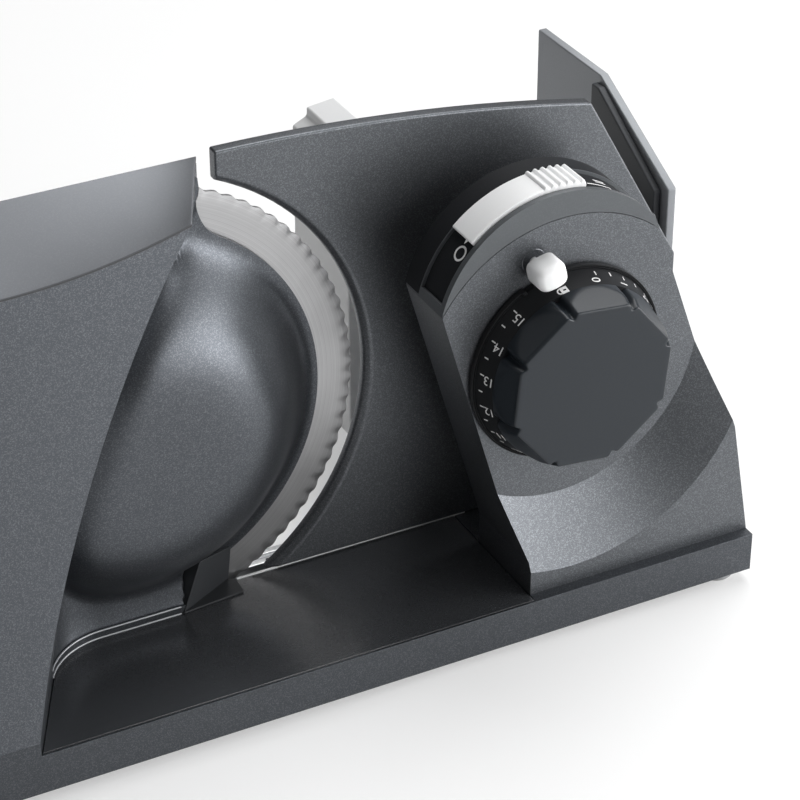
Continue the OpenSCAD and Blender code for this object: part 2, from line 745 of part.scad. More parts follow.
rod_room = 0.6;
rod_x = [-tower_foot_w + 12, -14];
rod_z = 16;
rod_bush_r = rod_d / 2 + 2.2;
rod_front = panel_y + 14;
follower_r = 2;
cam_r = 10;
follower_offset = cam_r + follower_r + 0.5;
cam_front = panel_y + tower_wall + 4;
cam_rear = tower_back - 3;

module rod_bushes() color(brass) place() for (x = rod_x) difference() {
    bar_y(x, rod_z, rod_front + 1, tower_back, rod_bush_r);
    bar_y(x, rod_z, 0, far, rod_d / 2 + run_gap);
}

plate_arc_r = blade_d / 2 + blade_gap;
plate_right = 1;
plate_slant = 0.554;
plate_sag = 3.5;
plate_chord = norm([plate_left - plate_corner_x, plate_top_left - plate_top_right]);
plate_top_r = plate_chord * plate_chord / 8 / plate_sag;
plate_mid = [-(plate_left + plate_corner_x) / 2, (plate_top_left + plate_top_right) / 2];
plate_across = [plate_top_right - plate_top_left, -(plate_left - plate_corner_x)] / plate_chord;
plate_centre = plate_mid + (plate_top_r - plate_sag) * plate_across;

module stop_plate() color(speckle) place() difference() {
    intersection() {
        prism_y([[-plate_left, plate_bottom], [-plate_right, plate_bottom],
            [-plate_right, plate_top_right - (plate_corner_x - plate_right) / plate_slant],
            [-plate_corner_x, plate_top_right], [-plate_corner_x - 4, plate_top_left + 20],
            [-plate_left, plate_top_left + 20]], plate_front, plate_rear);
        bar_y(plate_centre[0], plate_centre[1], 0, far, plate_top_r);
    }
    bar_y(-blade_x, blade_z, 0, far, plate_arc_r);
    translate([-blade_x, plate_front + arc_bevel, blade_z]) rotate([90, 0, 0])
        cylinder(r1 = plate_arc_r, r2 = plate_arc_r + arc_bevel + 1, h = arc_bevel + 1);
}
arc_bevel = 2.2;

module guide_rods() color(steel) place() for (x = rod_x) bar_y(x, rod_z, rod_front, plate_front, rod_d / 2);

module cam_follower() color(steel) place()
    bar_y(-knob_x, knob_z - follower_offset, tower_back - 4, plate_front, follower_r);

// Thickness knob: turns about the depth direction

grip_rear = panel_y - 10;
dial_rear = panel_y - 0.5;
flange_t = 1.6;

dial_lip = 1.2;
module dial_ring() color(smooth_dark) place() difference() {
    union() {
        bar_y(-knob_x, knob_z, dial_rear - flange_t, dial_rear, dial_r);
        translate([-knob_x, dial_rear - flange_t, knob_z]) rotate([90, 0, 0])
            cylinder(r1 = dial_r - dial_lip, r2 = grip_r + grip_draft, h = dial_rear - flange_t - grip_rear);
    }
    bar_y(-knob_x, knob_z, 0, far, knob_spindle_d / 2);
}

// The grip is a slightly tapered drum with slanted flats that leave corners, each corner notched
grip_draft = 1;
grip_phase = 17;
flat_depth = 2.4;
flat_slope = 21;
notch_r = 1.3;
module knob_grip() color(smooth_dark) place() difference() {
    grip_h = grip_rear - knob_front;
    translate([-knob_x, grip_rear, knob_z]) rotate([90, 0, 0]) difference() {
        cylinder(r1 = grip_r + grip_draft, r2 = grip_r, h = grip_h);
        for (i = [0 : grip_sides - 1]) rotate([0, 0, grip_phase + 360 * i / grip_sides]) {
            rotate([0, 0, 180 / grip_sides]) translate([grip_r - flat_depth, 0, grip_h])
                rotate([0, -flat_slope, 0]) translate([0, -grip_r, -2 * grip_h])
                    cube([grip_r, 2 * grip_r, 4 * grip_h]);
            translate([grip_r + notch_r / 2, 0, 1]) cylinder(r = notch_r, h = grip_h);
        }
    }
    bar_y(-knob_x, knob_z, grip_rear - 5, far, knob_spindle_d / 2);
}

module knob_spindle() color(steel) place()
    bar_y(-knob_x, knob_z, grip_rear - 5, cam_rear, knob_spindle_d / 2);

module setting_cam() color(white) place() difference() {
    bar_y(-knob_x, knob_z, cam_front, cam_rear, cam_r);
    bar_y(-knob_x, knob_z, 0, far, knob_spindle_d / 2);
}

// Lock button beside the knob: presses into the panel

button_angle = 107.8;
button_offset = dial_r + button_r + 0.7;
button_x = -knob_x + button_offset * cos(button_angle);
button_z = knob_z + button_offset * sin(button_angle);
stem_r = 3;
button_front = panel_y - 12.8;

module lock_button() color(white) place() {
    bar_y(button_x, button_z, button_front + 2, panel_y - button_travel - slide_gap, button_r);
    translate([button_x, button_front + 2, button_z]) rotate([90, 0, 0])
        cylinder(r1 = button_r, r2 = button_r - 2, h = 2);
    bar_y(button_x, button_z, panel_y - button_travel - slide_gap - 0.5, panel_y + tower_wall + 1, stem_r);
}

// Switch slider: an arc block with grip ribs that runs in the cap's channel

slider_r = cap_r + 1.4;
slider_front = channel_front + 0.4;
rib_count = 6;
rib_pitch = 3.4;
module switch_slider() color(white) place() {
    sector_y(-cap_x, cap_z, slider_front, slider_front + slider_w, channel_r + slide_gap, slider_r,
        slider_a0, slider_a0 + slider_sweep);
    for (i = [0 : rib_count - 1])
        sector_y(-cap_x, cap_z, slider_front, slider_front + slider_w, slider_r - 0.2, slider_r + 0.9,
            slider_a0 + 0.6 + i * rib_pitch, slider_a0 + 0.6 + i * rib_pitch + 1.7);
}

// Guide rail behind the blade, and the brackets that hold it

groove_y = rail_front + 3;
groove_w = 2;
groove_depth = 2;
rail_left = -base_len + 6;
module guide_rail() color(steel) place() difference() {
    block([rail_left, rail_front, rail_top - rail_h], [0, rail_front + rail_depth, rail_top]);
    block([-far, groove_y, rail_top - groove_depth], [far, groove_y + groove_w, rail_top + 1]);
}

bracket_w = 26;
module rail_brackets() color(smooth_dark) place() {
    block([-bracket_w, base_depth + ledge_depth, -base_h],
        [-1, rail_front + rail_depth + 4, rail_top - rail_h]);
    block([-bracket_w, base_depth + ledge_depth, rail_top - rail_h - 0.5], [-1, rail_front, rail_top]);
    block([-base_len + 2, base_depth, -base_h],
        [-base_len + bracket_w, rail_front + rail_depth + 4, rail_top - rail_h]);
    block([-base_len + 2, base_depth, rail_top - rail_h - 0.5],
        [-base_len + bracket_w, rail_front, rail_top]);
}

// Carriage: slides along the rail, carries the pusher wall, the holder and the folding leaf

shoe_rear = rail_front + rail_depth + slide_gap;
hook_t = 2;
hinge_r = hinge_pin_d / 2 + 1.5;
knuckles = 5;
knuckle_len = (carriage_len - 4) / knuckles;
knuckle_gap = 0.4;
groove_x = [bed_left + 16, wall_left - 22];

module carriage_bed() color(smooth_dark) place() difference() {
    union() {
        block([bed_left, bed_front, bed_bottom], [wall_right, bed_rear, bed_top]);
        // Runner over the rail, with a rib in the rail's groove
        block([bed_left, rail_front + slide_gap, rail_top + slide_gap],
            [wall_right, shoe_rear + hook_t, bed_bottom + 0.5]);
        block([bed_left, groove_y + slide_gap, rail_top - groove_depth + slide_gap],
            [wall_right, groove_y + groove_w - slide_gap, bed_bottom]);
        block([bed_left, shoe_rear, rail_top - rail_h + slide_gap],
            [wall_right, shoe_rear + hook_t, bed_bottom + 0.5]);
        // Hinge knuckles of the carriage
        for (i = [0 : 2 : knuckles - 1]) {
            x0 = bed_left + 2 + i * knuckle_len;
            bar_x(hinge_y, hinge_z, x0 + knuckle_gap / 2, x0 + knuckle_len - knuckle_gap / 2, hinge_r);
            block([x0 + knuckle_gap / 2, bed_rear - 0.5, hinge_z - hinge_r + 0.2],
                [x0 + knuckle_len - knuckle_gap / 2, hinge_y, hinge_z + 0.5]);
        }
    }
    bar_x(hinge_y, hinge_z, -far, far, hinge_pin_d / 2);
    for (x = groove_x) block([x - 2, bed_front + 2, bed_top - 1.6], [x + 2, bed_rear - 2, bed_top + 1]);
}

module hinge_pin() color(steel) place()
    bar_x(hinge_y, hinge_z, bed_left + 2, bed_left + 2 + knuckles * knuckle_len, hinge_pin_d / 2);

wall_rear = bed_rear;
wall_front = bed_front + 1.4;
module pusher_wall() color(smooth_dark) place()
    prism_x([[wall_front, bed_top], [wall_rear, bed_top], [wall_rear, wall_top],
        [wall_rear - wall_level, wall_top], [wall_front, wall_top - wall_drop]], wall_left, wall_right);

guard_t = 3;
guard_rim = 4.5;
module thumb_guard() color(smooth_dark) place()
    prism_x([[wall_front + guard_rim, bed_top], [wall_rear - wall_level + 1, bed_top],
        [wall_rear - wall_level + 1, wall_top - 3], [wall_rear - wall_level - 4, wall_top - 3],
        [wall_front + guard_rim, wall_top - wall_drop - 2]], wall_left - guard_t, wall_left);

// Folding leaf: swings up about the pin behind the carriage

leaf_mid = (bed_left + wall_right) / 2;
module feed_leaf() color(smooth_dark) place() difference() {
    union() {
        block([bed_left + 1, hinge_y + hinge_r + 0.4, hinge_z - 2], [wall_right - 1, leaf_rear, hinge_z + 2]);
        for (i = [1 : 2 : knuckles - 1]) {
            x0 = bed_left + 2 + i * knuckle_len;
            bar_x(hinge_y, hinge_z, x0 + knuckle_gap / 2, x0 + knuckle_len - knuckle_gap / 2, hinge_r);
            block([x0 + knuckle_gap / 2, hinge_y, hinge_z - hinge_r + 0.2],
                [x0 + knuckle_len - knuckle_gap / 2, hinge_y + hinge_r + 0.8, hinge_z + hinge_r - 1.2]);
        }
    }
    bar_x(hinge_y, hinge_z, -far, far, hinge_pin_d / 2 + run_gap);
    // Finger slot near the free edge
    block([leaf_mid - 20, leaf_rear - 20, hinge_z - 5], [leaf_mid + 20, leaf_rear - 8, hinge_z + 5]);
}

// Remnant holder: a white shell with a hand ridge that slides over the bed towards the blade

holder_right = wall_left - guard_t - 1;
holder_left = holder_right - holder_len;
holder_rear = bed_rear - 3;
holder_front = holder_rear - holder_depth;
holder_bottom = bed_top + slide_gap;
holder_low_top = 76;
shoulder = 5.7;
function holder_outline(w) = [[holder_left + w, holder_bottom + w], [holder_left + w, holder_top - 7.4 - w],
    [holder_left + shoulder + w, holder_top - 4.6 - w], [holder_left + shoulder + w, holder_top - 1.4 - w],
    [holder_left + ridge_w - w, holder_top - w], [holder_left + ridge_w + 4 - w, holder_low_top + 12 - w],
    [holder_left + ridge_w + 14, holder_low_top - w], [holder_right - w, holder_low_top - w],
    [holder_right - w, holder_bottom + w]];

module remnant_holder() color(white) place() {
    difference() {
        prism_y(holder_outline(0), holder_front, holder_rear);
        prism_y(holder_outline(holder_wall), holder_front + holder_wall + 1, holder_rear + 1);
    }
    for (x = groove_x) block([x - 2 + slide_gap, holder_front, bed_top - 1.6 + slide_gap],
        [x + 2 - slide_gap, holder_rear - 1, holder_bottom + 0.5]);
}

spike_rows = 3;
spike_columns = 5;
spike_pitch = 17;
module holder_spikes() color(steel) place()
    for (i = [0 : spike_columns - 1], k = [0 : spike_rows - 1])
        translate([holder_left + 16 + i * spike_pitch, holder_front, bed_top + 16 + k * spike_pitch])
            rotate([90, 0, 0]) cylinder(r1 = 1.8, r2 = 0.3, h = 4, $fn = 24);

base_tray();
slice_tray();
bottom_cover();
rubber_feet();
bottom_screws();
motor_housing();
top_panel();
rear_cover();
rear_screws();
gear_cover();
slice_deflector();
gear_carrier();
spindle_bush();
motor_can();
cord_inlet();
control_housing();
switch_cap();
control_rear_cover();
micro_switch();
knob_bush();
rod_bushes();
rail_brackets();
guide_rail();
blade();
blade_hub();
drive_gear();
blade_spindle();
blade_lock();
motor_shaft();
motor_pinion();
stop_plate();
guide_rods();
cam_follower();
knob_grip();
dial_ring();
knob_spindle();
setting_cam();
switch_slider();
lock_button();
carriage_bed();
pusher_wall();
thumb_guard();
hinge_pin();
feed_leaf();
remnant_holder();
holder_spikes();
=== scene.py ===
"""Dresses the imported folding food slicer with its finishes, rounded edges, printed marks and studio."""

import functools
import itertools
import json
import logging
import math
from dataclasses import dataclass, replace
from enum import Enum
from typing import Callable, Sequence

import bmesh
import bpy
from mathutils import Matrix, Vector


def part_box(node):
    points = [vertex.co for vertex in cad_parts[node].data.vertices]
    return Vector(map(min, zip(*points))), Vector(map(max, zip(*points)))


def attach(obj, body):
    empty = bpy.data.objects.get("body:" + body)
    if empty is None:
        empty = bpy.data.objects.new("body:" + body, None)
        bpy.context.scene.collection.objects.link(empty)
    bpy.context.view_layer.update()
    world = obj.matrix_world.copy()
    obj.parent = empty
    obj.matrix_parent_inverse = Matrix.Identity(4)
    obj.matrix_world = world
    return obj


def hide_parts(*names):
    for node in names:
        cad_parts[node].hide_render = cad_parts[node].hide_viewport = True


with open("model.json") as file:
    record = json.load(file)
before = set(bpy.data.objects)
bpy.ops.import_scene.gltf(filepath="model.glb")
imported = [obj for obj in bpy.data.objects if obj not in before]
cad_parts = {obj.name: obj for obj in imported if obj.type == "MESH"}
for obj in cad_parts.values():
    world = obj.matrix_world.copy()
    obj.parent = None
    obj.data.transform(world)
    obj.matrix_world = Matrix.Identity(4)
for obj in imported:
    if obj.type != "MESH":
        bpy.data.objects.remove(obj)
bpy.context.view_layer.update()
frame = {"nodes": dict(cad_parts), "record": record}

MM = 0.001
# Points nearer than this, in metres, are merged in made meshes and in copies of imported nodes
WELD = 1e-6
NODE_WELD = 2e-6
# Weight of large faces in the normals beside a rounding
FLAT_WEIGHT = 90
# A turn of more degrees than this is closed
WHOLE_TURN = 359.9
# Half the thickness of printed marks, in millimetres
MARK_T = 0.02
# Height and spacing of the figures of the built-in typeface, as shares of its size and its own spacing
FIGURE_SHARE = 0.7
FIGURE_SPACE = 0.92
# Values between which most of a noise lies
NOISE_RANGE = (0.3, 0.7)
log = logging.getLogger("slicer")

Colour = tuple[float, float, float]
Pair = tuple[float, float]
Point = tuple[float, float, float]
Outline = list[Pair]
Profile = Callable[[float], Outline]
Feeds = dict[int | str, object]
Piece = bpy.types.Object
Socket = bpy.types.NodeSocket
Tree = bpy.types.NodeTree


class Body(str, Enum):
    """The moving bodies that have pieces of their own here."""

    FRAME = "frame_body"
    BLADE = "blade_group"
    STOP = "stop_group"
    KNOB = "knob"
    SWITCH = "switch"
    LOCK = "lock"
    CARRIAGE = "carriage"
    LEAF = "leaf"
    HOLDER = "holder"


class Slot(str, Enum):
    """The record's material slots."""

    SPECKLED = "speckled_shell"
    SMOOTH = "smooth_shell"
    TOP_PANEL = "top_panel_grey"
    TRAY = "tray_satin"
    CARRIAGE = "carriage_grey"
    WHITE = "white_plastic"
    KNOB = "knob_black"
    BLADE = "blade_steel"
    RAIL = "rail_aluminium"
    STEEL = "steel"
    BRASS = "bush_brass"
    GEAR = "gear_plastic"
    INNER = "inner_black"
    RUBBER = "foot_rubber"


# Shared helpers for meshes


@dataclass(frozen=True)
class Datum:
    """The right front top corner of the base, from which the machine is measured in millimetres."""

    corner: Vector

    @classmethod
    def from_frame(cls) -> "Datum":
        """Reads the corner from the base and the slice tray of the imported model."""
        low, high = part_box("base_tray")
        return cls(Vector((high.x, low.y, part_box("slice_tray")[1].z)))

    def at(self, x: float, y: float, z: float) -> Vector:
        """Gives a point in the model's frame, in metres.

        Args:
            x: Distance to the right of the corner, in millimetres.
            y: Distance behind the corner, in millimetres.
            z: Height above the corner, in millimetres.

        Returns:
            The point in metres.
        """
        return self.corner + Vector((x, y, z)) * MM

    def metres(self, *point: float) -> Point:
        """Gives a point in millimetres as plain numbers in metres."""
        return tuple(self.at(*point))


DATUM = Datum.from_frame()


def linked(name: str, data: bpy.types.ID) -> Piece:
    """Makes an object of some data and links it to the scene.

    Args:
        name: Name of the object.
        data: A mesh, curve, camera or light.

    Returns:
        The new object, at the origin.
    """
    obj = bpy.data.objects.new(name, data)
    bpy.context.scene.collection.objects.link(obj)
    return obj


def make_object(name: str, vertices: Sequence[Vector], faces: Sequence[Sequence[int]]) -> Piece:
    """Makes a mesh object at the origin, with its doubles merged and its normals outward.

    Args:
        name: Name of the object.
        vertices: Points in metres.
        faces: Corner numbers of each face.

    Returns:
        The new object, linked to the scene.
    """
    mesh = bpy.data.meshes.new(name)
    mesh.from_pydata([tuple(v) for v in vertices], [], [list(f) for f in faces])
    work = bmesh.new()
    work.from_mesh(mesh)
    bmesh.ops.remove_doubles(work, verts=work.verts, dist=WELD)
    bmesh.ops.recalc_face_normals(work, faces=work.faces)
    work.to_mesh(mesh)
    work.free()
    return linked(name, mesh)


def settle(obj: Piece) -> Piece:
    """Turns an object's modifiers into a plain mesh.

    Args:
        obj: The object with modifiers.

    Returns:
        The same object, with no modifiers.
    """
    graph = bpy.context.evaluated_depsgraph_get()
    mesh = bpy.data.meshes.new_from_object(obj.evaluated_get(graph), depsgraph=graph)
    old = obj.data
    obj.modifiers.clear()
    obj.data = mesh
    mesh.name = obj.name
    bpy.data.meshes.remove(old)
    return obj


def round_edges(obj: Piece, width: float, angle: float = 30.0) -> Piece:
    """Rounds the sharp edges of an object and keeps its flat faces flat.

    Args:
        obj: The object to round.
        width: Width of the rounding, in millimetres.
        angle: Edges that bend more than this many degrees are rounded.

    Returns:
        The same object, as a plain mesh.
    """
    obj.data.shade_smooth()
    bevel = obj.modifiers.new("rounding", "BEVEL")
    bevel.width = width * MM
    bevel.segments = 3
    bevel.limit_method = "ANGLE"
    bevel.angle_limit = math.radians(angle)
    bevel.use_clamp_overlap = True
    bevel.miter_outer = "MITER_ARC"
    weighted = obj.modifiers.new("even_normals", "WEIGHTED_NORMAL")
    weighted.keep_sharp = True
    weighted.weight = FLAT_WEIGHT
    return settle(obj)


def node_copy(node: str, name: str, flat: float = 0.6) -> Piece:
    """Copies a node's shape as a merged mesh whose flat faces are whole.

    Args:
        node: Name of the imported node.
        name: Name of the copy.
        flat: Faces that bend less than this many degrees are joined.

    Returns:
        The copy, as a new object.
    """
    source = frame["nodes"][node].data
    mesh = bpy.data.meshes.new(name)
    faces = [list(p.vertices) for p in source.polygons]
    mesh.from_pydata([tuple(v.co) for v in source.vertices], [], faces)
    work = bmesh.new()
    work.from_mesh(mesh)
    bmesh.ops.remove_doubles(work, verts=work.verts, dist=NODE_WELD)
    bmesh.ops.dissolve_limit(work, angle_limit=math.radians(flat), verts=work.verts, edges=work.edges)
    work.to_mesh(mesh)
    work.free()
    return linked(name, mesh)


def tube_faces(rows: int, count: int, whole: bool) -> list[list[int]]:
    """Gives the faces between rows of points, each row a closed outline.

    Args:
        rows: Number of rows.
        count: Number of points in each row.
        whole: The last row meets the first one. If it doesn't, both ends are closed.

    Returns:
        The corner numbers of each face.
    """
    faces: list[list[int]] = []
    for i in range(rows if whole else rows - 1):
        j = (i + 1) % rows
        for k in range(count):
            n = (k + 1) % count
            faces.append([i * count + k, i * count + n, j * count + n, j * count + k])
    if not whole:
        faces += [list(range(count)), list(range((rows - 1) * count, rows * count))]
    return faces


def swept(name: str, profile: Profile, x: float, z: float, steps: int, start: float = 0.0,
          end: float = 360.0) -> Piece:
    """Skins the closed profiles met on a turn about an axis along the depth.

    Args:
        name: Name of the object.
        profile: Gives the radius and depth of each point, in millimetres, for an angle in degrees.
        x: Place of the axis along the machine, in millimetres.
        z: Height of the axis, in millimetres.
        steps: Number of steps of the turn.
        start: Angle at which the turn starts, from the right upwards.
        end: Angle at which the turn ends.

    Returns:
        The new object.
    """
    whole = end - start > WHOLE_TURN
    rows = steps if whole else steps + 1
    vertices: list[Vector] = []
    for i in range(rows):
        angle = start + (end - start) * i / steps
        a = math.radians(angle)
        vertices += [DATUM.at(x + r * math.cos(a), y, z + r * math.sin(a)) for r, y in profile(angle)]
    return make_object(name, vertices, tube_faces(rows, len(vertices) // rows, whole))


def hull(name: str, points: Sequence[Point]) -> Piece:
    """Makes the smallest solid without hollows round some points.

    Args:
        name: Name of the object.
        points: The points, in millimetres from the datum.

    Returns:
        The solid.
    """
    work = bmesh.new()
    for point in points:
        work.verts.new(DATUM.at(*point))
    bmesh.ops.convex_hull(work, input=work.verts)
    bmesh.ops.recalc_face_normals(work, faces=work.faces)
    work.verts.index_update()
    faces = [[v.index for v in f.verts] for f in work.faces]
    obj = make_object(name, [v.co.copy() for v in work.verts], faces)
    work.free()
    return obj


def share_between(value: float, low: float, high: float) -> float:
    """Gives how far a value is on the way from one to another, from 0 to 1."""
    return min(1.0, max(0.0, (value - low) / (high - low)))


def soft_min(first: float, second: float, soft: float) -> float:
    """Gives the smaller of two values, with the change from one to the other rounded.

    Args:
        first: The first value.
        second: The second value.
        soft: Difference at which the rounding starts.

    Returns:
        The rounded smaller value.
    """
    share = min(1.0, max(0.0, 0.5 + 0.5 * (first - second) / soft))
    return first + (second - first) * share - soft * share * (1 - share)


def quarter(steps: int) -> list[Pair]:
    """Gives the points of a rounded corner of radius 1, each as its sine and 1 less its cosine."""
    angles = [math.radians(90.0 * k / steps) for k in range(steps + 1)]
    return [(math.sin(a), 1 - math.cos(a)) for a in angles]


def merge(name: str, pieces: Sequence[Piece]) -> Piece:
    """Joins several mesh objects into one and removes them.

    Args:
        name: Name of the joined object.
        pieces: The objects to join.

    Returns:
        The joined object.
    """
    work = bmesh.new()
    for piece in pieces:
        work.from_mesh(piece.data)
        bpy.data.objects.remove(piece)
    mesh = bpy.data.meshes.new(name)
    work.to_mesh(mesh)
    work.free()
    return linked(name, mesh)


def shade(obj: Piece, angle: float = 35.0) -> Piece:
    """Shades an object smoothly up to an angle.

    Args:
        obj: The object.
        angle: Edges that bend more than this many degrees stay sharp.

    Returns:
        The same object.
    """
    obj.data.shade_smooth()
    obj.data.set_sharp_from_angle(angle=math.radians(angle))
    return obj


# Finishes


class NodeBench:
    """A short way to place and join nodes in one tree."""

    def __init__(self, tree: Tree) -> None:
        """Takes the tree to work in."""
        self.tree = tree

    def feed(self, inputs: bpy.types.bpy_prop_collection, feeds: Feeds) -> None:
        """Feeds the inputs of a node.

        Args:
            inputs: The node's inputs.
            feeds: For an input's name or number, the socket to link to it or its value.
        """
        for key, value in feeds.items():
            if isinstance(value, Socket):
                self.tree.links.new(value, inputs[key])
            else:
                inputs[key].default_value = value

    def add(self, kind: str, feeds: Feeds | None = None, **settings: object) -> bpy.types.Node:
        """Places a node.

        Args:
            kind: The node's type name.
            feeds: What its inputs are fed with.
            settings: Properties of the node.

        Returns:
            The node.
        """
        node = self.tree.nodes.new(kind)
        for key, value in settings.items():
            setattr(node, key, value)
        self.feed(node.inputs, feeds or {})
        return node

    def math(self, operation: str, *values: float | Socket) -> Socket:
        """Gives the result of an operation on values or sockets."""
        return self.add("ShaderNodeMath", dict(enumerate(values)), operation=operation).outputs[0]

    def xyz(self, **parts: Socket) -> Socket:
        """Gives a vector made of the named parts."""
        return self.add("ShaderNodeCombineXYZ", parts).outputs[0]

    def remap(self, value: Socket, come: Pair, go: Pair) -> Socket:
        """Maps a value from one range to another.

        Args:
            value: The socket to map.
            come: The range it comes in.
            go: The range it goes out in.

        Returns:
            The mapped value's socket.
        """
        labels = ("Value", "From Min", "From Max", "To Min", "To Max")
        feeds = dict(zip(labels, (value, *come, *go)))
        return self.add("ShaderNodeMapRange", feeds, clamp=True).outputs["Result"]

    def mix(self, factor: Socket, first: Colour, second: Colour) -> Socket:
        """Mixes two fixed colours by a value.

        Args:
            factor: Share of the second colour.
            first: The first colour.
            second: The second colour.

        Returns:
            The mixed colour's socket.
        """
        # Input 0 is the factor for a single value
        feeds = {0: factor, "A": (*first, 1.0), "B": (*second, 1.0)}
        node = self.add("ShaderNodeMix", feeds, data_type="RGBA")
        return [s for s in node.outputs if s.type == "RGBA"][0]

    def relief(self, height: Socket, strength: float, depth: float) -> Socket:
        """Gives normals for a fine relief.

        Args:
            height: The relief's height, from 0 to 1.
            strength: Share of the relief that shows.
            depth: The relief's depth, in metres.

        Returns:
            The normals' socket.
        """
        feeds = {"Strength": strength, "Distance": depth, "Height": height}
        return self.add("ShaderNodeBump", feeds).outputs["Normal"]

    def seen(self, camera: float | Socket, mirror: float | Socket) -> Socket:
        """Gives one value on rays from the camera, another in mirrors and clear pieces, and 0 on other rays.

        Args:
            camera: The value on rays from the camera.
            mirror: The value on rays from mirrors and through clear pieces.

        Returns:
            The value's socket.
        """
        rays = self.add("ShaderNodeLightPath").outputs
        either = self.math("MAXIMUM", rays["Is Glossy Ray"], rays["Is Transmission Ray"])
        direct = self.math("MULTIPLY", rays["Is Camera Ray"], camera)
        return self.math("ADD", direct, self.math("MULTIPLY", either, mirror))

    def close(self, copies: Socket, material: Socket) -> None:
        """Ends a geometry tree: makes the copies real and gives them their material.

        Args:
            copies: The instances.
            material: The material's socket.
        """
        real = self.add("GeometryNodeRealizeInstances", {0: copies})
        finish = self.add("GeometryNodeSetMaterial", {"Geometry": real.outputs[0], "Material": material})
        self.add("NodeGroupOutput", {0: finish.outputs[0]})


def new_tree(name: str, kind: str, inputs: dict[str, str], outputs: dict[str, str]) -> Tree:
    """Makes a node group that has sockets and no nodes.

    Args:
        name: Name of the group.
        kind: The tree's type name.
        inputs: Kind of value of each input.
        outputs: Kind of value of each output.

    Returns:
        The group.
    """
    tree = bpy.data.node_groups.new(name, kind)
    for in_out, sockets in (("OUTPUT", outputs), ("INPUT", inputs)):
        for label, value in sockets.items():
            tree.interface.new_socket(label, in_out=in_out, socket_type="NodeSocket" + value)
    return tree


@functools.cache
def fleck_group() -> Tree:
    """Makes the group for fine flecks and moulded grain, once.

    Returns:
        The group: Vector and Scale in, Fleck, Grain and Cloud out.
    """
    group = new_tree("fleck_and_grain", "ShaderNodeTree", {"Vector": "Vector", "Scale": "Float"},
                     {"Fleck": "Float", "Grain": "Float", "Cloud": "Float"})
    bench = NodeBench(group)
    given = bench.add("NodeGroupInput").outputs
    fine = {"Vector": given["Vector"], "Scale": given["Scale"]}
    wide = {"Vector": given["Vector"], "Scale": 14.0, "Detail": 3.0}
    flecks = bench.add("ShaderNodeTexVoronoi", fine, feature="F1")
    grain = bench.add("ShaderNodeTexNoise", {**fine, "Detail": 2.0})
    cloud = bench.add("ShaderNodeTexNoise", wide)
    split = bench.add("ShaderNodeSeparateColor", {"Color": flecks.outputs["Color"]})
    # Fewer than half of the cells are flecks
    fleck = bench.remap(split.outputs[0], (0.55, 1.0), (0.0, 1.0))
    bench.add("NodeGroupOutput", {
        "Fleck": fleck, "Grain": grain.outputs["Fac"], "Cloud": cloud.outputs["Fac"]})
    return group


@functools.cache
def turned_group() -> Tree:
    """Makes the group for fine turned lines about an axis along the depth, once.

    Returns:
        The group: Vector and Scale in, Line and Cloud out.
    """
    group = new_tree("turned_lines", "ShaderNodeTree", {"Vector": "Vector", "Scale": "Float"},
                     {"Line": "Float", "Cloud": "Float"})
    bench = NodeBench(group)
    given = bench.add("NodeGroupInput").outputs
    across = {0: given["Vector"], 1: (1.0, 0.0, 1.0)}
    flat = bench.add("ShaderNodeVectorMath", across, operation="MULTIPLY")
    radius = bench.add("ShaderNodeVectorMath", {0: flat.outputs[0]}, operation="LENGTH")
    along = {"W": radius.outputs["Value"], "Scale": given["Scale"], "Detail": 2.0}
    lines = bench.add("ShaderNodeTexNoise", along, noise_dimensions="1D")
    cloud = bench.add("ShaderNodeTexNoise", {"Vector": given["Vector"], "Scale": 30.0})
    bench.add("NodeGroupOutput", {"Line": lines.outputs["Fac"], "Cloud": cloud.outputs["Fac"]})
    return group


@dataclass(frozen=True)
class Finish:
    """A finish whose material is made once."""

    name: str

    def material(self) -> bpy.types.Material:
        """Gives the finish's material and makes it the first time.

        Returns:
            The material.
        """
        if self.name in bpy.data.materials:
            return bpy.data.materials[self.name]
        material = bpy.data.materials.new(self.name)
        material.use_nodes = True
        bench = NodeBench(material.node_tree)
        surface = material.node_tree.nodes["Principled BSDF"]
        bench.feed(surface.inputs, self.feeds(bench, bench.add("ShaderNodeTexCoord").outputs["Object"]))
        return material

    def feeds(self, bench: NodeBench, place: Socket) -> Feeds:
        """Gives what the surface is fed with.

        Args:
            bench: The material's bench.
            place: Place on the piece.

        Returns:
            A socket or a value for each input that differs from a plain surface.
        """
        raise NotImplementedError


@dataclass(frozen=True)
class MouldedFinish(Finish):
    """Moulded or sprayed plastic with fine flecks, a soft grain and slightly uneven gloss."""

    colour: Colour
    fleck: Colour
    fleck_scale: float = 2800.0
    fleck_share: float = 0.5
    roughness: float = 0.4
    spread: float = 0.04
    bump: float = 0.02
    bump_depth: float = 0.0002
    specular: float = 0.5
    metallic: float = 0.0

    def feeds(self, bench: NodeBench, place: Socket) -> Feeds:
        """Gives flecked colour, uneven gloss and grain.

        Args:
            bench: The material's bench.
            place: Place on the piece.

        Returns:
            A socket or a value for each input.
        """
        source = {"Vector": place, "Scale": self.fleck_scale}
        group = bench.add("ShaderNodeGroup", source, node_tree=fleck_group()).outputs
        share = bench.math("MULTIPLY", group["Fleck"], self.fleck_share)
        gloss = (self.roughness - self.spread, self.roughness + self.spread)
        return {
            "Base Color": bench.mix(share, self.colour, self.fleck),
            "Roughness": bench.remap(group["Cloud"], NOISE_RANGE, gloss),
            "Normal": bench.relief(group["Grain"], self.bump, self.bump_depth),
            "Specular IOR Level": self.specular,
            "Metallic": self.metallic,
        }


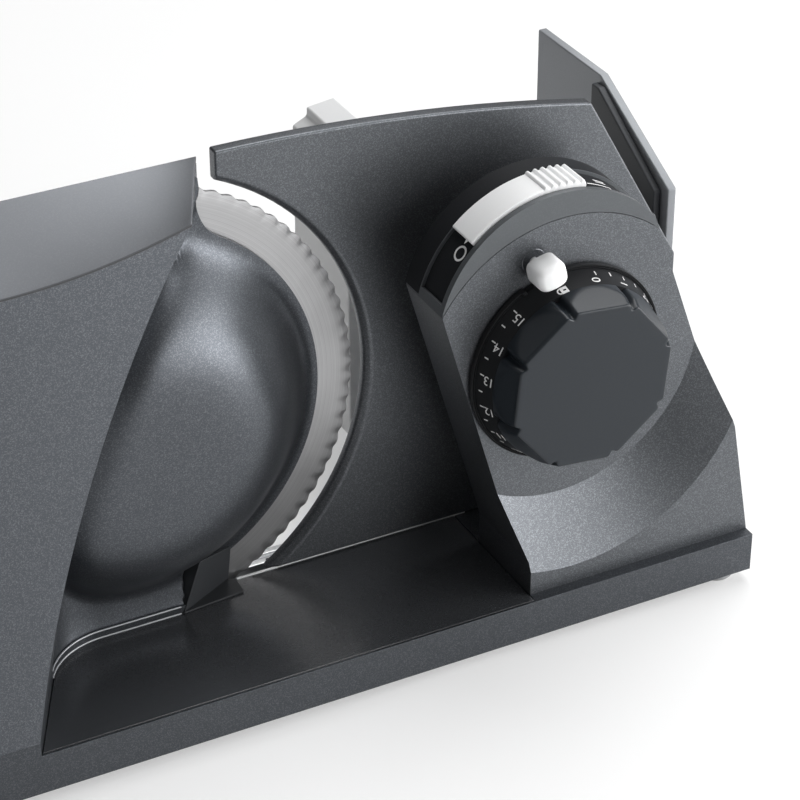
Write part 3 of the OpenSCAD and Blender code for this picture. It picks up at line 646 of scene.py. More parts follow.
@dataclass(frozen=True)
class TurnedFinish(Finish):
    """Steel or aluminium with fine lines turned about an axis along the depth."""

    dark: Colour
    light: Colour
    centre: Point
    scale: float
    roughness: float
    spread: float = 0.05
    bump: float = 0.1
    bump_depth: float = 0.0001

    def feeds(self, bench: NodeBench, place: Socket) -> Feeds:
        """Gives lined metal with uneven gloss.

        Args:
            bench: The material's bench.
            place: Place on the piece.

        Returns:
            A socket or a value for each input.
        """
        shift = {"Location": tuple(-v for v in self.centre), "Vector": place}
        centred = bench.add("ShaderNodeMapping", shift).outputs["Vector"]
        source = {"Vector": centred, "Scale": self.scale}
        group = bench.add("ShaderNodeGroup", source, node_tree=turned_group()).outputs
        gloss = (self.roughness - self.spread, self.roughness + self.spread)
        return {
            "Base Color": bench.mix(group["Line"], self.dark, self.light),
            "Roughness": bench.remap(group["Cloud"], NOISE_RANGE, gloss),
            "Normal": bench.relief(group["Line"], self.bump, self.bump_depth),
            "Metallic": 1.0,
        }


SPECKLED = MouldedFinish(
    "speckled_anthracite", (0.1, 0.106, 0.115), (0.225, 0.235, 0.25),
    fleck_scale=3600.0, fleck_share=0.6, roughness=0.38, bump=0.08, specular=0.4, metallic=0.8)
FINISHES: dict[Slot, Finish] = {
    Slot.SPECKLED: SPECKLED,
    Slot.SMOOTH: MouldedFinish(
        "smooth_anthracite", (0.09, 0.097, 0.104), (0.11, 0.117, 0.125),
        fleck_scale=3000.0, specular=0.4, metallic=0.3),
    Slot.TOP_PANEL: MouldedFinish(
        "top_panel_anthracite", (0.092, 0.096, 0.104), (0.112, 0.116, 0.124),
        fleck_scale=3600.0, roughness=0.36, specular=0.4, metallic=0.8),
    Slot.TRAY: MouldedFinish(
        "tray_dark_satin", (0.034, 0.036, 0.039), (0.042, 0.044, 0.048),
        fleck_scale=3600.0, fleck_share=0.4, roughness=0.22, spread=0.03, specular=0.9),
    Slot.CARRIAGE: MouldedFinish(
        "carriage_anthracite", (0.23, 0.241, 0.256), (0.255, 0.266, 0.28),
        roughness=0.45, bump=0.03, specular=0.35, metallic=0.2),
    Slot.WHITE: MouldedFinish(
        "white_moulding", (0.85, 0.855, 0.86), (0.88, 0.88, 0.88),
        fleck_share=0.3, roughness=0.38, spread=0.05, specular=0.35),
    Slot.KNOB: MouldedFinish(
        "knob_satin_black", (0.014, 0.018, 0.023), (0.019, 0.023, 0.028),
        fleck_share=0.4, roughness=0.34, spread=0.03, specular=0.32),
    Slot.BLADE: TurnedFinish(
        "blade_turned_steel", (0.32, 0.32, 0.325), (0.48, 0.48, 0.485),
        DATUM.metres(-212.7, 62.0, 74.0), scale=2500.0, roughness=0.36),
    Slot.RAIL: TurnedFinish(
        "rail_drawn_aluminium", (0.6, 0.61, 0.62), (0.78, 0.785, 0.79),
        DATUM.metres(-170.0, 73.0, -7.0), scale=900.0, roughness=0.35),
    Slot.STEEL: TurnedFinish(
        "plain_steel", (0.42, 0.42, 0.43), (0.6, 0.6, 0.61),
        DATUM.metres(-170.0, 30.0, 60.0), scale=1500.0, roughness=0.38),
    Slot.BRASS: TurnedFinish(
        "sintered_bronze", (0.48, 0.33, 0.14), (0.62, 0.45, 0.2),
        DATUM.metres(-212.7, 40.0, 74.0), scale=1500.0, roughness=0.45),
    Slot.GEAR: MouldedFinish(
        "natural_acetal", (0.66, 0.64, 0.58), (0.72, 0.7, 0.64),
        fleck_scale=2000.0, fleck_share=0.4, spread=0.06, bump=0.05),
    Slot.INNER: MouldedFinish(
        "black_moulding", (0.022, 0.022, 0.024), (0.035, 0.035, 0.038),
        fleck_scale=2400.0, roughness=0.5, spread=0.06, bump=0.05),
    Slot.RUBBER: MouldedFinish(
        "grey_rubber", (0.3, 0.305, 0.31), (0.36, 0.365, 0.37),
        fleck_scale=1600.0, roughness=0.75, spread=0.05, bump=0.15, specular=0.3),
}
# Darker copies of the same speckled paint as the tower's and the stop plate's: painted shade on the housing
# and the dome, and deeper painted shade on the base's front strip
SHADED_HOUSING = replace(
    SPECKLED, name="speckled_housing_painted_shade", colour=(0.08, 0.086, 0.096), fleck=(0.182, 0.192, 0.208))
SHADED_STRIP = replace(
    SPECKLED, name="speckled_base_strip_painted_shade", colour=(0.066, 0.071, 0.079), fleck=(0.15, 0.159, 0.172))
# Pale satin for the beads on the step's edges: painted highlights
STEP_HIGHLIGHT = MouldedFinish(
    "step_painted_highlight", (0.4, 0.41, 0.43), (0.46, 0.47, 0.49), fleck_share=0.3, metallic=0.4)
# Pale strip on the tray's rear edge: a painted highlight
REAR_HIGHLIGHT = MouldedFinish(
    "tray_rear_painted_highlight", (0.76, 0.77, 0.78), (0.8, 0.8, 0.81), fleck_share=0.3, roughness=0.35)
INK = MouldedFinish(
    "white_ink", (0.74, 0.74, 0.74), (0.8, 0.8, 0.8),
    fleck_scale=2400.0, fleck_share=0.4, roughness=0.5, spread=0.06, bump=0.05)
DIAL = MouldedFinish(
    "dial_black", (0.016, 0.0167, 0.018), (0.021, 0.0217, 0.023),
    fleck_share=0.4, bump=0.03, specular=0.1)
# Near-black sheets on the switch's track and on the cap's top behind it: painted shade
CHANNEL_SHADE = MouldedFinish(
    "track_painted_shade", (0.014, 0.015, 0.017), (0.02, 0.021, 0.023),
    fleck_share=0.4, roughness=0.55, specular=0.1)
# The thumb guard is kept much darker than the pusher wall beside it: painted shade
SHADED_GUARD = MouldedFinish(
    "guard_painted_shade", (0.045, 0.048, 0.053), (0.053, 0.056, 0.061),
    roughness=0.5, spread=0.05, bump=0.03, specular=0.25)
HOLDER = MouldedFinish(
    "holder_white", (0.7, 0.705, 0.71), (0.74, 0.74, 0.74),
    fleck_share=0.3, spread=0.05, specular=0.3)
DEFLECTOR = MouldedFinish(
    "deflector_anthracite", (0.03, 0.032, 0.035), (0.037, 0.039, 0.043),
    roughness=0.42, spread=0.05, bump=0.03, specular=0.25)


# Printed marks


def flat_mesh(name: str, curve: bpy.types.Curve) -> Piece:
    """Turns a curve or a text, measured in millimetres, into a mesh.

    Args:
        name: Name of the mesh object.
        curve: The curve or text. Its thickness is set here.

    Returns:
        The mesh object.
    """
    curve.extrude = MARK_T
    holder = linked(name + "_curve", curve)
    graph = bpy.context.evaluated_depsgraph_get()
    mesh = bpy.data.meshes.new_from_object(holder.evaluated_get(graph), depsgraph=graph)
    bpy.data.objects.remove(holder)
    bpy.data.curves.remove(curve)
    mesh.name = name
    return linked(name, mesh)


def add_line(curve: bpy.types.Curve, points: Sequence[Point], closed: bool) -> None:
    """Adds a straight-sided line to a curve.

    Args:
        curve: The curve.
        points: The line's points.
        closed: The last point is joined to the first one.
    """
    line = curve.splines.new("POLY")
    line.points.add(len(points) - 1)
    for point, place in zip(line.points, points):
        point.co = (*place, 1.0)
    line.use_cyclic_u = closed


def outlined(name: str, outlines: Sequence[Sequence[Pair]]) -> Piece:
    """Fills flat outlines; an outline inside another one is a hole.

    Args:
        name: Name of the object.
        outlines: Closed outlines in millimetres.

    Returns:
        The thin filled mesh.
    """
    curve = bpy.data.curves.new(name, "CURVE")
    curve.dimensions = "2D"
    curve.fill_mode = "BOTH"
    for outline in outlines:
        add_line(curve, [(u, v, 0.0) for u, v in outline], closed=True)
    return flat_mesh(name, curve)


def lettering(name: str, text: str, height: float) -> Piece:
    """Sets a short text, centred, with figures of a given height.

    Args:
        name: Name of the object.
        text: The text.
        height: Height of the figures, in millimetres.

    Returns:
        The thin mesh of the text.
    """
    curve = bpy.data.curves.new(name, "FONT")
    curve.body = text
    curve.align_x = "CENTER"
    curve.align_y = "CENTER"
    curve.resolution_u = 4
    curve.size = height / FIGURE_SHARE
    curve.space_character = FIGURE_SPACE
    return flat_mesh(name, curve)


def circle(radius: float, v: float = 0.0, steps: int = 48, end: float = 360.0) -> Outline:
    """Gives points on a circle or an arc from the right upwards, in millimetres.

    Args:
        radius: Radius of the circle.
        v: Height of its centre.
        steps: Number of points.
        end: Angle at which the arc ends, in degrees.

    Returns:
        The points; a whole circle doesn't repeat its first one.
    """
    last = steps if end > WHOLE_TURN else steps - 1
    angles = [math.radians(end * i / last) for i in range(steps)]
    return [(radius * math.cos(a), v + radius * math.sin(a)) for a in angles]


@dataclass(frozen=True)
class RoundFace:
    """A cone or cylinder about an axis along the depth, on which marks are printed."""

    x: float
    z: float
    radius: float
    slope: float = 0.0
    lift: float = 0.05

    def wrap(self, obj: Piece, angle: float, depth: float) -> Piece:
        """Lays a flat mesh on the face: its width runs to the rear, its height anticlockwise.

        Args:
            obj: The flat mesh, in millimetres.
            angle: Angle of its middle, from the right upwards, in degrees.
            depth: Depth of its middle, in millimetres.

        Returns:
            The same object, in place.
        """
        for vertex in obj.data.vertices:
            u, v, w = vertex.co
            y = depth + u
            r = self.radius + self.slope * y + self.lift + w
            a = math.radians(angle) + v / r
            vertex.co = DATUM.at(self.x + r * math.cos(a), y, self.z + r * math.sin(a))
        return obj


# Repeats made with geometry nodes


@functools.cache
def block_ring_tree() -> Tree:
    """Makes the tree for equal blocks on a ring about an axis along the depth, once.

    Returns:
        The tree: Count, Start, Step, Radius, Tilt, Centre, Size and Material in, one mesh out.
    """
    tree = new_tree("blocks_on_a_ring", "GeometryNodeTree", {
        "Count": "Int", "Start": "Float", "Step": "Float", "Radius": "Float", "Tilt": "Float",
        "Centre": "Vector", "Size": "Vector", "Material": "Material"}, {"Geometry": "Geometry"})
    bench = NodeBench(tree)
    given = bench.add("NodeGroupInput").outputs
    index = bench.add("GeometryNodeInputIndex").outputs[0]
    angle = bench.math("MULTIPLY_ADD", index, given["Step"], given["Start"])
    x = bench.math("MULTIPLY", bench.math("COSINE", angle), given["Radius"])
    z = bench.math("MULTIPLY", bench.math("SINE", angle), given["Radius"])
    shift = {0: bench.xyz(X=x, Z=z), 1: given["Centre"]}
    place = bench.add("ShaderNodeVectorMath", shift, operation="ADD")
    points = bench.add("GeometryNodePoints", {"Count": given["Count"], "Position": place.outputs[0]})
    cube = bench.add("GeometryNodeMeshCube", {"Size": given["Size"]})
    tilted = bench.add("GeometryNodeTransform", {
        "Geometry": cube.outputs["Mesh"], "Rotation": bench.xyz(Z=given["Tilt"])})
    copies = bench.add("GeometryNodeInstanceOnPoints", {
        "Points": points.outputs[0], "Instance": tilted.outputs[0],
        "Rotation": bench.xyz(Y=bench.math("MULTIPLY", angle, -1.0))})
    bench.close(copies.outputs[0], given["Material"])
    return tree


@functools.cache
def block_grid_tree() -> Tree:
    """Makes the tree for crosses in a level grid, once.

    Returns:
        The tree: Columns, Rows, Width, Depth, Centre, Size and Material in, one mesh out.
    """
    tree = new_tree("crosses_in_a_grid", "GeometryNodeTree", {
        "Columns": "Int", "Rows": "Int", "Width": "Float", "Depth": "Float", "Centre": "Vector",
        "Size": "Vector", "Material": "Material"}, {"Geometry": "Geometry"})
    bench = NodeBench(tree)
    given = bench.add("NodeGroupInput").outputs
    grid = bench.add("GeometryNodeMeshGrid", {
        "Size X": given["Width"], "Size Y": given["Depth"], "Vertices X": given["Columns"],
        "Vertices Y": given["Rows"]})
    moved = bench.add("GeometryNodeTransform", {
        "Geometry": grid.outputs["Mesh"], "Translation": given["Centre"]})
    cross = bench.add("GeometryNodeJoinGeometry")
    for turn in (0.0, math.pi / 2):
        cube = bench.add("GeometryNodeMeshCube", {"Size": given["Size"]})
        bar = bench.add("GeometryNodeTransform", {
            "Geometry": cube.outputs["Mesh"], "Rotation": (0.0, 0.0, turn)})
        bench.feed(cross.inputs, {0: bar.outputs[0]})
    copies = bench.add("GeometryNodeInstanceOnPoints", {
        "Points": moved.outputs[0], "Instance": cross.outputs[0]})
    bench.close(copies.outputs[0], given["Material"])
    return tree


def run_tree(name: str, tree: Tree, values: dict[str, object]) -> Piece:
    """Runs a geometry tree with its inputs set by name and keeps the mesh.

    Args:
        name: Name of the object.
        tree: The geometry tree.
        values: Value of each named input.

    Returns:
        The object, as a plain mesh.
    """
    obj = make_object(name, [], [])
    modifier = obj.modifiers.new("repeats", "NODES")
    modifier.node_group = tree
    sockets = {item.name: item.identifier for item in tree.interface.items_tree if item.in_out == "INPUT"}
    for label, value in values.items():
        modifier[sockets[label]] = value
    return settle(obj)


# Sub-assemblies


def dress(obj: Piece, body: Body, slot: Slot, *nodes: str, finish: Finish | None = None) -> Piece:
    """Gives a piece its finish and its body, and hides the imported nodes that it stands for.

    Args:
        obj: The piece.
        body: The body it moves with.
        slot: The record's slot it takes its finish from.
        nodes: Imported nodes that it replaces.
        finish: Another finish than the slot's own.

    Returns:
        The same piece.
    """
    material = (finish or FINISHES[slot]).material()
    obj.data.materials.clear()
    obj.data.materials.append(material)
    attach(obj, body.value)
    if nodes:
        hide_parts(*nodes)
    log.info("%s rides on %s, %d faces", obj.name, body.value, len(obj.data.polygons))
    return obj


def shell(node: str, body: Body, slot: Slot, width: float, angle: float = 30.0,
          finish: Finish | None = None) -> Piece:
    """Stands a copy of a node with rounded edges in its place.

    Args:
        node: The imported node.
        body: The body it moves with.
        slot: The record's slot.
        width: Width of the rounding, in millimetres.
        angle: Edges that bend more than this many degrees are rounded.
        finish: Another finish than the slot's own.

    Returns:
        The dressed copy.
    """
    copy = round_edges(node_copy(node, node + "_shell"), width, angle)
    return dress(copy, body, slot, node, finish=finish)


@dataclass
class BaseSet:
    """Base with its dark tray, bottom cover, crossed screws and rubber feet."""

    screw_columns: int = 3
    screw_rows: int = 2
    screw_head_r: float = 3.0
    cross_mm: Point = (3.4, 0.8, 0.6)
    cross_lift: float = 0.28
    edge_x: Pair = (-174.0, -84.0)
    edge_y: Pair = (59.0, 59.85)
    edge_z: Pair = (-0.4, 0.45)

    def build(self) -> None:
        """Makes the shells, the pale strip on the tray's rear edge that paints its highlight, and the dark
        crosses that paint the shade in the bottom screws' recesses.
        """
        shell("base_tray", Body.FRAME, Slot.SPECKLED, width=0.45, finish=SHADED_STRIP)
        shell("slice_tray", Body.FRAME, Slot.TRAY, width=0.35)
        shell("bottom_cover", Body.FRAME, Slot.SMOOTH, width=0.4)
        shell("rubber_feet", Body.FRAME, Slot.RUBBER, width=1.2)
        shell("rail_brackets", Body.FRAME, Slot.SMOOTH, width=0.6)
        shell("guide_rail", Body.FRAME, Slot.RAIL, width=0.4)
        # The thin pale strip paints the highlight along the tray's rear edge
        edge = hull("tray_rear_highlight", list(itertools.product(self.edge_x, self.edge_y, self.edge_z)))
        dress(round_edges(edge, width=0.25), Body.FRAME, Slot.RAIL, finish=REAR_HIGHLIGHT)
        self.recesses()

    def recesses(self) -> None:
        """Lays a dark cross on the head of each bottom screw: painted shade in its cross recess."""
        low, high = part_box("bottom_screws")
        # The heads' radius is taken off both sides to get to the middles of the outer screws
        head = self.screw_head_r * MM
        crosses = run_tree("screw_recess_shade", block_grid_tree(), {
            "Columns": self.screw_columns, "Rows": self.screw_rows,
            "Width": high.x - low.x - 2 * head, "Depth": high.y - low.y - 2 * head,
            "Centre": ((low.x + high.x) / 2, (low.y + high.y) / 2, low.z + self.cross_lift * MM),
            "Size": tuple(v * MM for v in self.cross_mm), "Material": FINISHES[Slot.INNER].material()})
        dress(crosses, Body.FRAME, Slot.INNER)


@dataclass
class MotorHousing:
    """Leaning housing with its top panel, slice deflector, rear cover and cord inlet."""

    length: float = 345.0
    end_gap: float = 0.3
    depth: float = 60.0
    plinth_h: float = 5.0
    face_lean: float = 0.2
    top_h: float = 165.0
    edge_h: Pair = (149.5, 158.4)
    bend_x: float = -262.0
    bend_run: float = 65.0
    end_x: float = -182.0
    end_slant: float = 0.5008
    panel_t: float = 1.2
    panel_lift: float = 0.25
    overhang: float = 0.12
    columns: int = 160
    rows: int = 12
    seam_y: Pair = (0.0, 0.6)
    seam_z: Pair = (0.1, -0.4)
    wedge_face: tuple[Point, ...] = (
        (-198.3, 48.9, 0.05), (-190.3, 52.0, 17.2), (-175.6, 59.2, 14.4), (-176.6, 60.2, 0.05))
    wedge_rear: tuple[Point, ...] = (
        (-200.0, 54.0, 0.05), (-193.0, 57.0, 17.0), (-180.0, 60.4, 15.0), (-195.0, 60.4, 0.05))
    wedge_foot: tuple[Pair, ...] = ((-198.3, 48.7), (-175.0, 50.8), (-174.6, 58.6), (-178.0, 60.0))
    foot_z: Pair = (0.05, 0.9)

    def build(self) -> None:
        """Makes the shells, the slice deflector, the smooth top panel and its dark seam."""
        shell("motor_housing", Body.FRAME, Slot.SPECKLED, width=0.3, angle=24.0, finish=SHADED_HOUSING)
        self.deflector()
        shell("rear_cover", Body.FRAME, Slot.SMOOTH, width=0.5)
        shell("cord_inlet", Body.FRAME, Slot.INNER, width=0.5)
        self.panel()
        self.seam()

    def deflector(self) -> None:
        """Makes the slice deflector: a wedge with a slanted face on a thin foot."""
        wedge = hull("wedge", self.wedge_face + self.wedge_rear)
        foot = hull("foot", [(x, y, z) for x, y in self.wedge_foot for z in self.foot_z])
        pieces = [round_edges(wedge, width=0.4), round_edges(foot, width=0.25)]
        both = merge("slice_deflector_wedge", pieces)
        dress(both, Body.FRAME, Slot.SMOOTH, "slice_deflector", finish=DEFLECTOR)

    def front_z(self, x: float) -> float:
        """Gives the height of the top's front edge at a place along the machine."""
        share = max(0.0, (x - self.bend_x) / self.bend_run)
        return self.edge_h[0] + (self.edge_h[1] - self.edge_h[0]) * share ** 2

    def front_y(self, x: float) -> float:
        """Gives the depth of the top's front edge at a place along the machine."""
        return self.face_lean * (self.front_z(x) - self.plinth_h)

    def top_z(self, x: float, y: float) -> float:
        """Gives the height of the top, which is straight from its front edge to its rear edge."""
        low, front = self.front_z(x), self.front_y(x)
        return low + (self.top_h - low) * (y - front) / (self.depth - front)

    def front_end(self) -> float:
        """Gives where the top's front edge meets the slanted end.

        Returns:
            The place along the machine, in millimetres.
        """
        x = self.end_x
        # Each round comes nearer to the corner
        for _ in range(20):
            x = self.end_x + (self.front_y(x) - self.depth) * self.end_slant
        return x

    def spot(self, along: float, back: float, lift: float) -> Vector:
        """Gives a point of the top.

        Args:
            along: Share of the way from the left end to the right end.
            back: Share of the way from the front edge to the rear edge.
            lift: Height above the top, in millimetres.

        Returns:
            The point in the model's frame.
        """
        left = -self.length + self.end_gap
        front_x = left + along * (self.front_end() - left)
        rear_x = left + along * (self.end_x - left)
        x = front_x + (rear_x - front_x) * back
        y0 = self.front_y(front_x) - self.overhang
        y = y0 + (self.depth - y0) * back
        return DATUM.at(x, y, self.top_z(x, y) + lift)

    def panel(self) -> None:
        """Makes the smooth panel over the whole top."""
        columns, rows = self.columns, self.rows
        vertices = [self.spot(i / columns, k / rows, lift) for lift in (self.panel_lift, -self.panel_t)
                    for i in range(columns + 1) for k in range(rows + 1)]
        layer = (columns + 1) * (rows + 1)
        faces: list[list[int]] = []
        for i, k in itertools.product(range(columns), range(rows)):
            a = i * (rows + 1) + k
            quad = [a, a + 1, a + rows + 2, a + rows + 1]
            faces += [quad, [layer + n for n in quad]]
        border = [i * (rows + 1) for i in range(columns + 1)]
        border += [columns * (rows + 1) + k for k in range(1, rows + 1)]
        border += [i * (rows + 1) + rows for i in range(columns - 1, -1, -1)]
        border += list(range(rows - 1, 0, -1))
        for first, second in zip(border, border[1:] + border[:1]):
            faces.append([first, second, layer + second, layer + first])
        panel = round_edges(make_object("top_panel_smooth", vertices, faces), width=0.2, angle=40.0)
        dress(panel, Body.FRAME, Slot.TOP_PANEL, "top_panel")

    def seam(self) -> None:
        """Draws the dark seam under the panel's front edge."""
        (near, far), (top, foot) = self.seam_y, self.seam_z
        section = ((near, top), (near, foot), (far, foot), (far, top))
        vertices: list[Vector] = []
        for i in range(self.columns + 1):
            point = self.spot(i / self.columns, 0.0, 0.0)
            vertices += [point + Vector((0.0, y + self.face_lean * z, z)) * MM for y, z in section]
        faces = tube_faces(self.columns + 1, len(section), whole=False)
        dress(make_object("panel_seam", vertices, faces), Body.FRAME, Slot.INNER)


@dataclass
class GearCover:
    """Dome over the drive that flows down to the step and into the housing's end."""

    x: float = -212.7
    z: float = 74.0
    top_y: float = 28.8
    rim_y: float = 60.8
    rim_r: float = 71.5
    far_r: float = 95.0
    fall: float = 2.6
    steps: int = 360
    rows: int = 48
    flare_angles: Pair = (56.5, 73.0)
    flare_reach: float = 24.0
    flare_power: int = 3
    flare_top: float = 161.0
    least_rise: float = 0.2
    wall_turn: float = 26.6
    wall_centre: Pair = (183.8, -50.7)
    wall_r: float = 428.0
    valley: float = 4.0
    valley_w: float = 7.0
    ear_depth: float = 7.0
    ear_w: float = 3.0
    foot_angles: Pair = (-60.0, -76.0)
    foot_end_x: float = -197.0
    foot_end_slope: float = 3.0
    foot_depth: float = 1.6
    foot_rise: float = 8.0
    soft: float = 4.0
    step_z: float = 3.0
    step_y: float = 49.5
    step_lip: float = 0.9
    # Painted highlights along the step's edges: span, heights, radius and steps of the thin pale beads
    bead_x: Pair = (-251.0, -199.0)
    bead_z: Pair = (2.95, 0.15)
    bead_r: float = 0.3
    bead_steps: int = 40
    corner_x: float = -228.2
    corner_r: float = 26.0
    corner_share: float = 0.9
    # Behind the housing's side the dome is cut short: angle and radius
    hidden: tuple[Pair, ...] = (
        (-180.0, 42.0), (-160.0, 42.0), (-130.0, 64.0), (-122.0, 95.0), (82.0, 95.0), (88.0, 82.0),
        (104.0, 82.0), (115.0, 76.0), (130.0, 42.0), (180.0, 42.0))

    def foot_share(self, angle: float) -> float:
        """Gives how far the rim is the foot on the step, from 0 to 1, at an angle."""
        share = share_between(angle, *self.foot_angles)
        return share * share * (3 - 2 * share)

    def reach(self, angle: float) -> float:
        """Gives the radius of the dome's rim at an angle.

        Args:
            angle: Angle from the right upwards, in degrees.

        Returns:
            The radius in millimetres.
        """
        flare = share_between(angle, *self.flare_angles) ** self.flare_power
        rim = self.rim_r + self.flare_reach * flare
        rise = math.sin(math.radians(angle))
        if angle > self.flare_angles[0]:
            rim = min(rim, (self.flare_top - self.z) / max(self.least_rise, rise))
        foot = min(self.far_r, (self.z - self.step_z) / max(self.least_rise, -rise))
        return rim + (foot - rim) * self.foot_share(angle)

    def step_bow(self, x: float) -> float:
        """Gives how far the step's rounded corner runs to the front at a place along the machine."""
        # The corner ends inside the housing, before it turns straight to the front
        off = min(self.corner_share * self.corner_r, max(0.0, self.corner_x - x))
        return self.corner_r - math.sqrt(self.corner_r ** 2 - off ** 2)

    def foot_y(self, x: float, z: float) -> float:
        """Gives the depth of the foot, which starts at the step's rounded edge and runs back as it rises.

        Args:
            x: Place along the machine, in millimetres.
            z: Height in millimetres.

        Returns:
            The depth in millimetres.
        """
        edge = self.step_y + self.step_lip - self.step_bow(x)
        # The foot ends at the slice deflector
        past = self.foot_end_slope * max(0.0, x - self.foot_end_x)
        back = self.foot_depth * (1 - math.exp(-max(0.0, z - self.step_z) / self.foot_rise))
        return min(self.rim_y, edge + past + back)

    def wall_gap(self, x: float, y: float, z: float) -> float:
        """Gives the distance to the right of the housing's slanted hollow end, 0 behind it.

        Args:
            x: Place along the machine, in millimetres.
            y: Depth in millimetres.
            z: Height in millimetres.

        Returns:
            The distance in millimetres.
        """
        turn = math.radians(self.wall_turn)
        across = self.wall_centre[0] - math.sqrt(self.wall_r ** 2 - (z - self.wall_centre[1]) ** 2)
        return max(0.0, x - (across + y * math.sin(turn)) / math.cos(turn))

    def dome_y(self, r: float, x: float, z: float) -> float:
        """Gives the depth of the round dome, with a valley along the housing's end.

        Args:
            r: Distance from the dome's axis, in millimetres.
            x: Place along the machine, in millimetres.
            z: Height in millimetres.

        Returns:
            The depth in millimetres.
        """
        swell = (1 + math.cos(math.pi * min(1.0, r / self.rim_r) ** self.fall)) / 2
        dome = self.rim_y - (self.rim_y - self.top_y) * swell
        return dome + self.valley * math.exp(-(self.wall_gap(x, dome, z) / self.valley_w) ** 2)

    def cut(self, angle: float) -> float:
        """Gives the radius at which the dome is cut short."""
        for (a0, r0), (a1, r1) in zip(self.hidden, self.hidden[1:]):
            if a0 <= angle <= a1:
                return r0 + (r1 - r0) * (angle - a0) / (a1 - a0)
        return self.rim_r

    def profile(self, angle: float) -> Outline:
        """Gives the dome's section at an angle, from its top to its rear.

        Args:
            angle: Angle from the right upwards, in degrees.

        Returns:
            The section's points, each a radius and a depth in millimetres.
        """
        angle = (angle + 180.0) % 360.0 - 180.0
        end = min(self.reach(angle), self.cut(angle))
        run, rise = math.cos(math.radians(angle)), math.sin(math.radians(angle))
        points: Outline = []
        for k in range(self.rows + 1):
            r = end * k / self.rows
            x, z = self.x + r * run, self.z + r * rise
            # The rim sweeps forward into the housing's end above, and into the foot below
            if rise < 0:
                other = self.foot_y(x, z)
            else:
                other = self.rim_y - self.ear_depth * math.exp(-self.wall_gap(x, self.rim_y, z) / self.ear_w)
            points.append((r, min(self.rim_y, soft_min(self.dome_y(r, x, z), other, self.soft))))
        return points + [(end, self.rim_y), (0.0, self.rim_y)]

    def build(self) -> None:
        """Makes the dome and the pale beads that paint the step's highlights."""
        dome = swept("gear_cover_dome", self.profile, self.x, self.z, self.steps)
        dress(shade(dome, angle=45.0), Body.FRAME, Slot.SPECKLED, "gear_cover", finish=SHADED_HOUSING)
        self.beads()

    def beads(self) -> None:
        """Lays a thin pale bead along the upper and the lower edge of the step: a painted highlight on each
        edge.
        """
        start, end = self.bead_x
        places = [start + (end - start) * k / self.bead_steps for k in range(self.bead_steps + 1)]
        for name, height in zip(("step_highlight_top", "step_highlight_foot"), self.bead_z):
            curve = bpy.data.curves.new(name, "CURVE")
            curve.dimensions = "3D"
            curve.bevel_depth = self.bead_r
            curve.bevel_resolution = 2
            curve.use_fill_caps = True
            add_line(curve, [(x, self.step_y - self.step_bow(x), height) for x in places], closed=False)
            highlight_tube = flat_mesh(name, curve)
            for vertex in highlight_tube.data.vertices:
                vertex.co = DATUM.at(*vertex.co)
            dress(shade(highlight_tube, angle=60.0), Body.FRAME, Slot.SPECKLED, finish=STEP_HIGHLIGHT)


@dataclass
class BladeSet:
    """Round blade whose waved edge is ground hollow on its front."""

    x: float = -212.7
    z: float = 74.0
    front: float = 61.4
    rear: float = 63.0
    bore_r: float = 19.0
    flat_r: float = 60.0
    edge_r: float = 85.0
    ground_r: float = 79.5
    ground_depth: float = 0.3
    ground_shares: tuple[float, ...] = (0.0, 0.25, 0.5, 0.7, 0.85, 1.0)
    waves: int = 85
    wave_depth: float = 0.7
    wave_hollow: float = 0.12
    wave_lean: float = 1.4
    steps_per_wave: int = 10

    def profile(self, angle: float) -> Outline:
        """Gives the blade's section at an angle.

        Args:
            angle: Angle from the right upwards, in degrees.

        Returns:
            The section's points, each a radius and a depth in millimetres.
        """
        share = (angle / 360.0 * self.waves) % 1.0
        dip = (1 - math.cos(2 * math.pi * share ** self.wave_lean)) / 2
        edge = self.edge_r - self.wave_depth * dip
        depth = self.ground_depth + self.wave_hollow * dip
        ground = [(self.ground_r + (edge - self.ground_r) * t, self.front + depth * t ** 2)
                  for t in self.ground_shares]
        return ([(self.bore_r, self.front), (self.flat_r, self.front)] + ground
                + [(edge, self.rear), (self.bore_r, self.rear)])

    def build(self) -> None:
        """Makes the blade."""
        blade = swept("blade_disc", self.profile, self.x, self.z, self.waves * self.steps_per_wave)
        dress(shade(blade, angle=40.0), Body.BLADE, Slot.BLADE, "blade")


@dataclass
class StopPlate:
    """Stop plate with its arc cut round the blade."""

    edge: float = 0.8
    edge_angle: float = 24.0

    def build(self) -> None:
        """Makes the plate."""
        shell("stop_plate", Body.STOP, Slot.SPECKLED, self.edge, self.edge_angle)


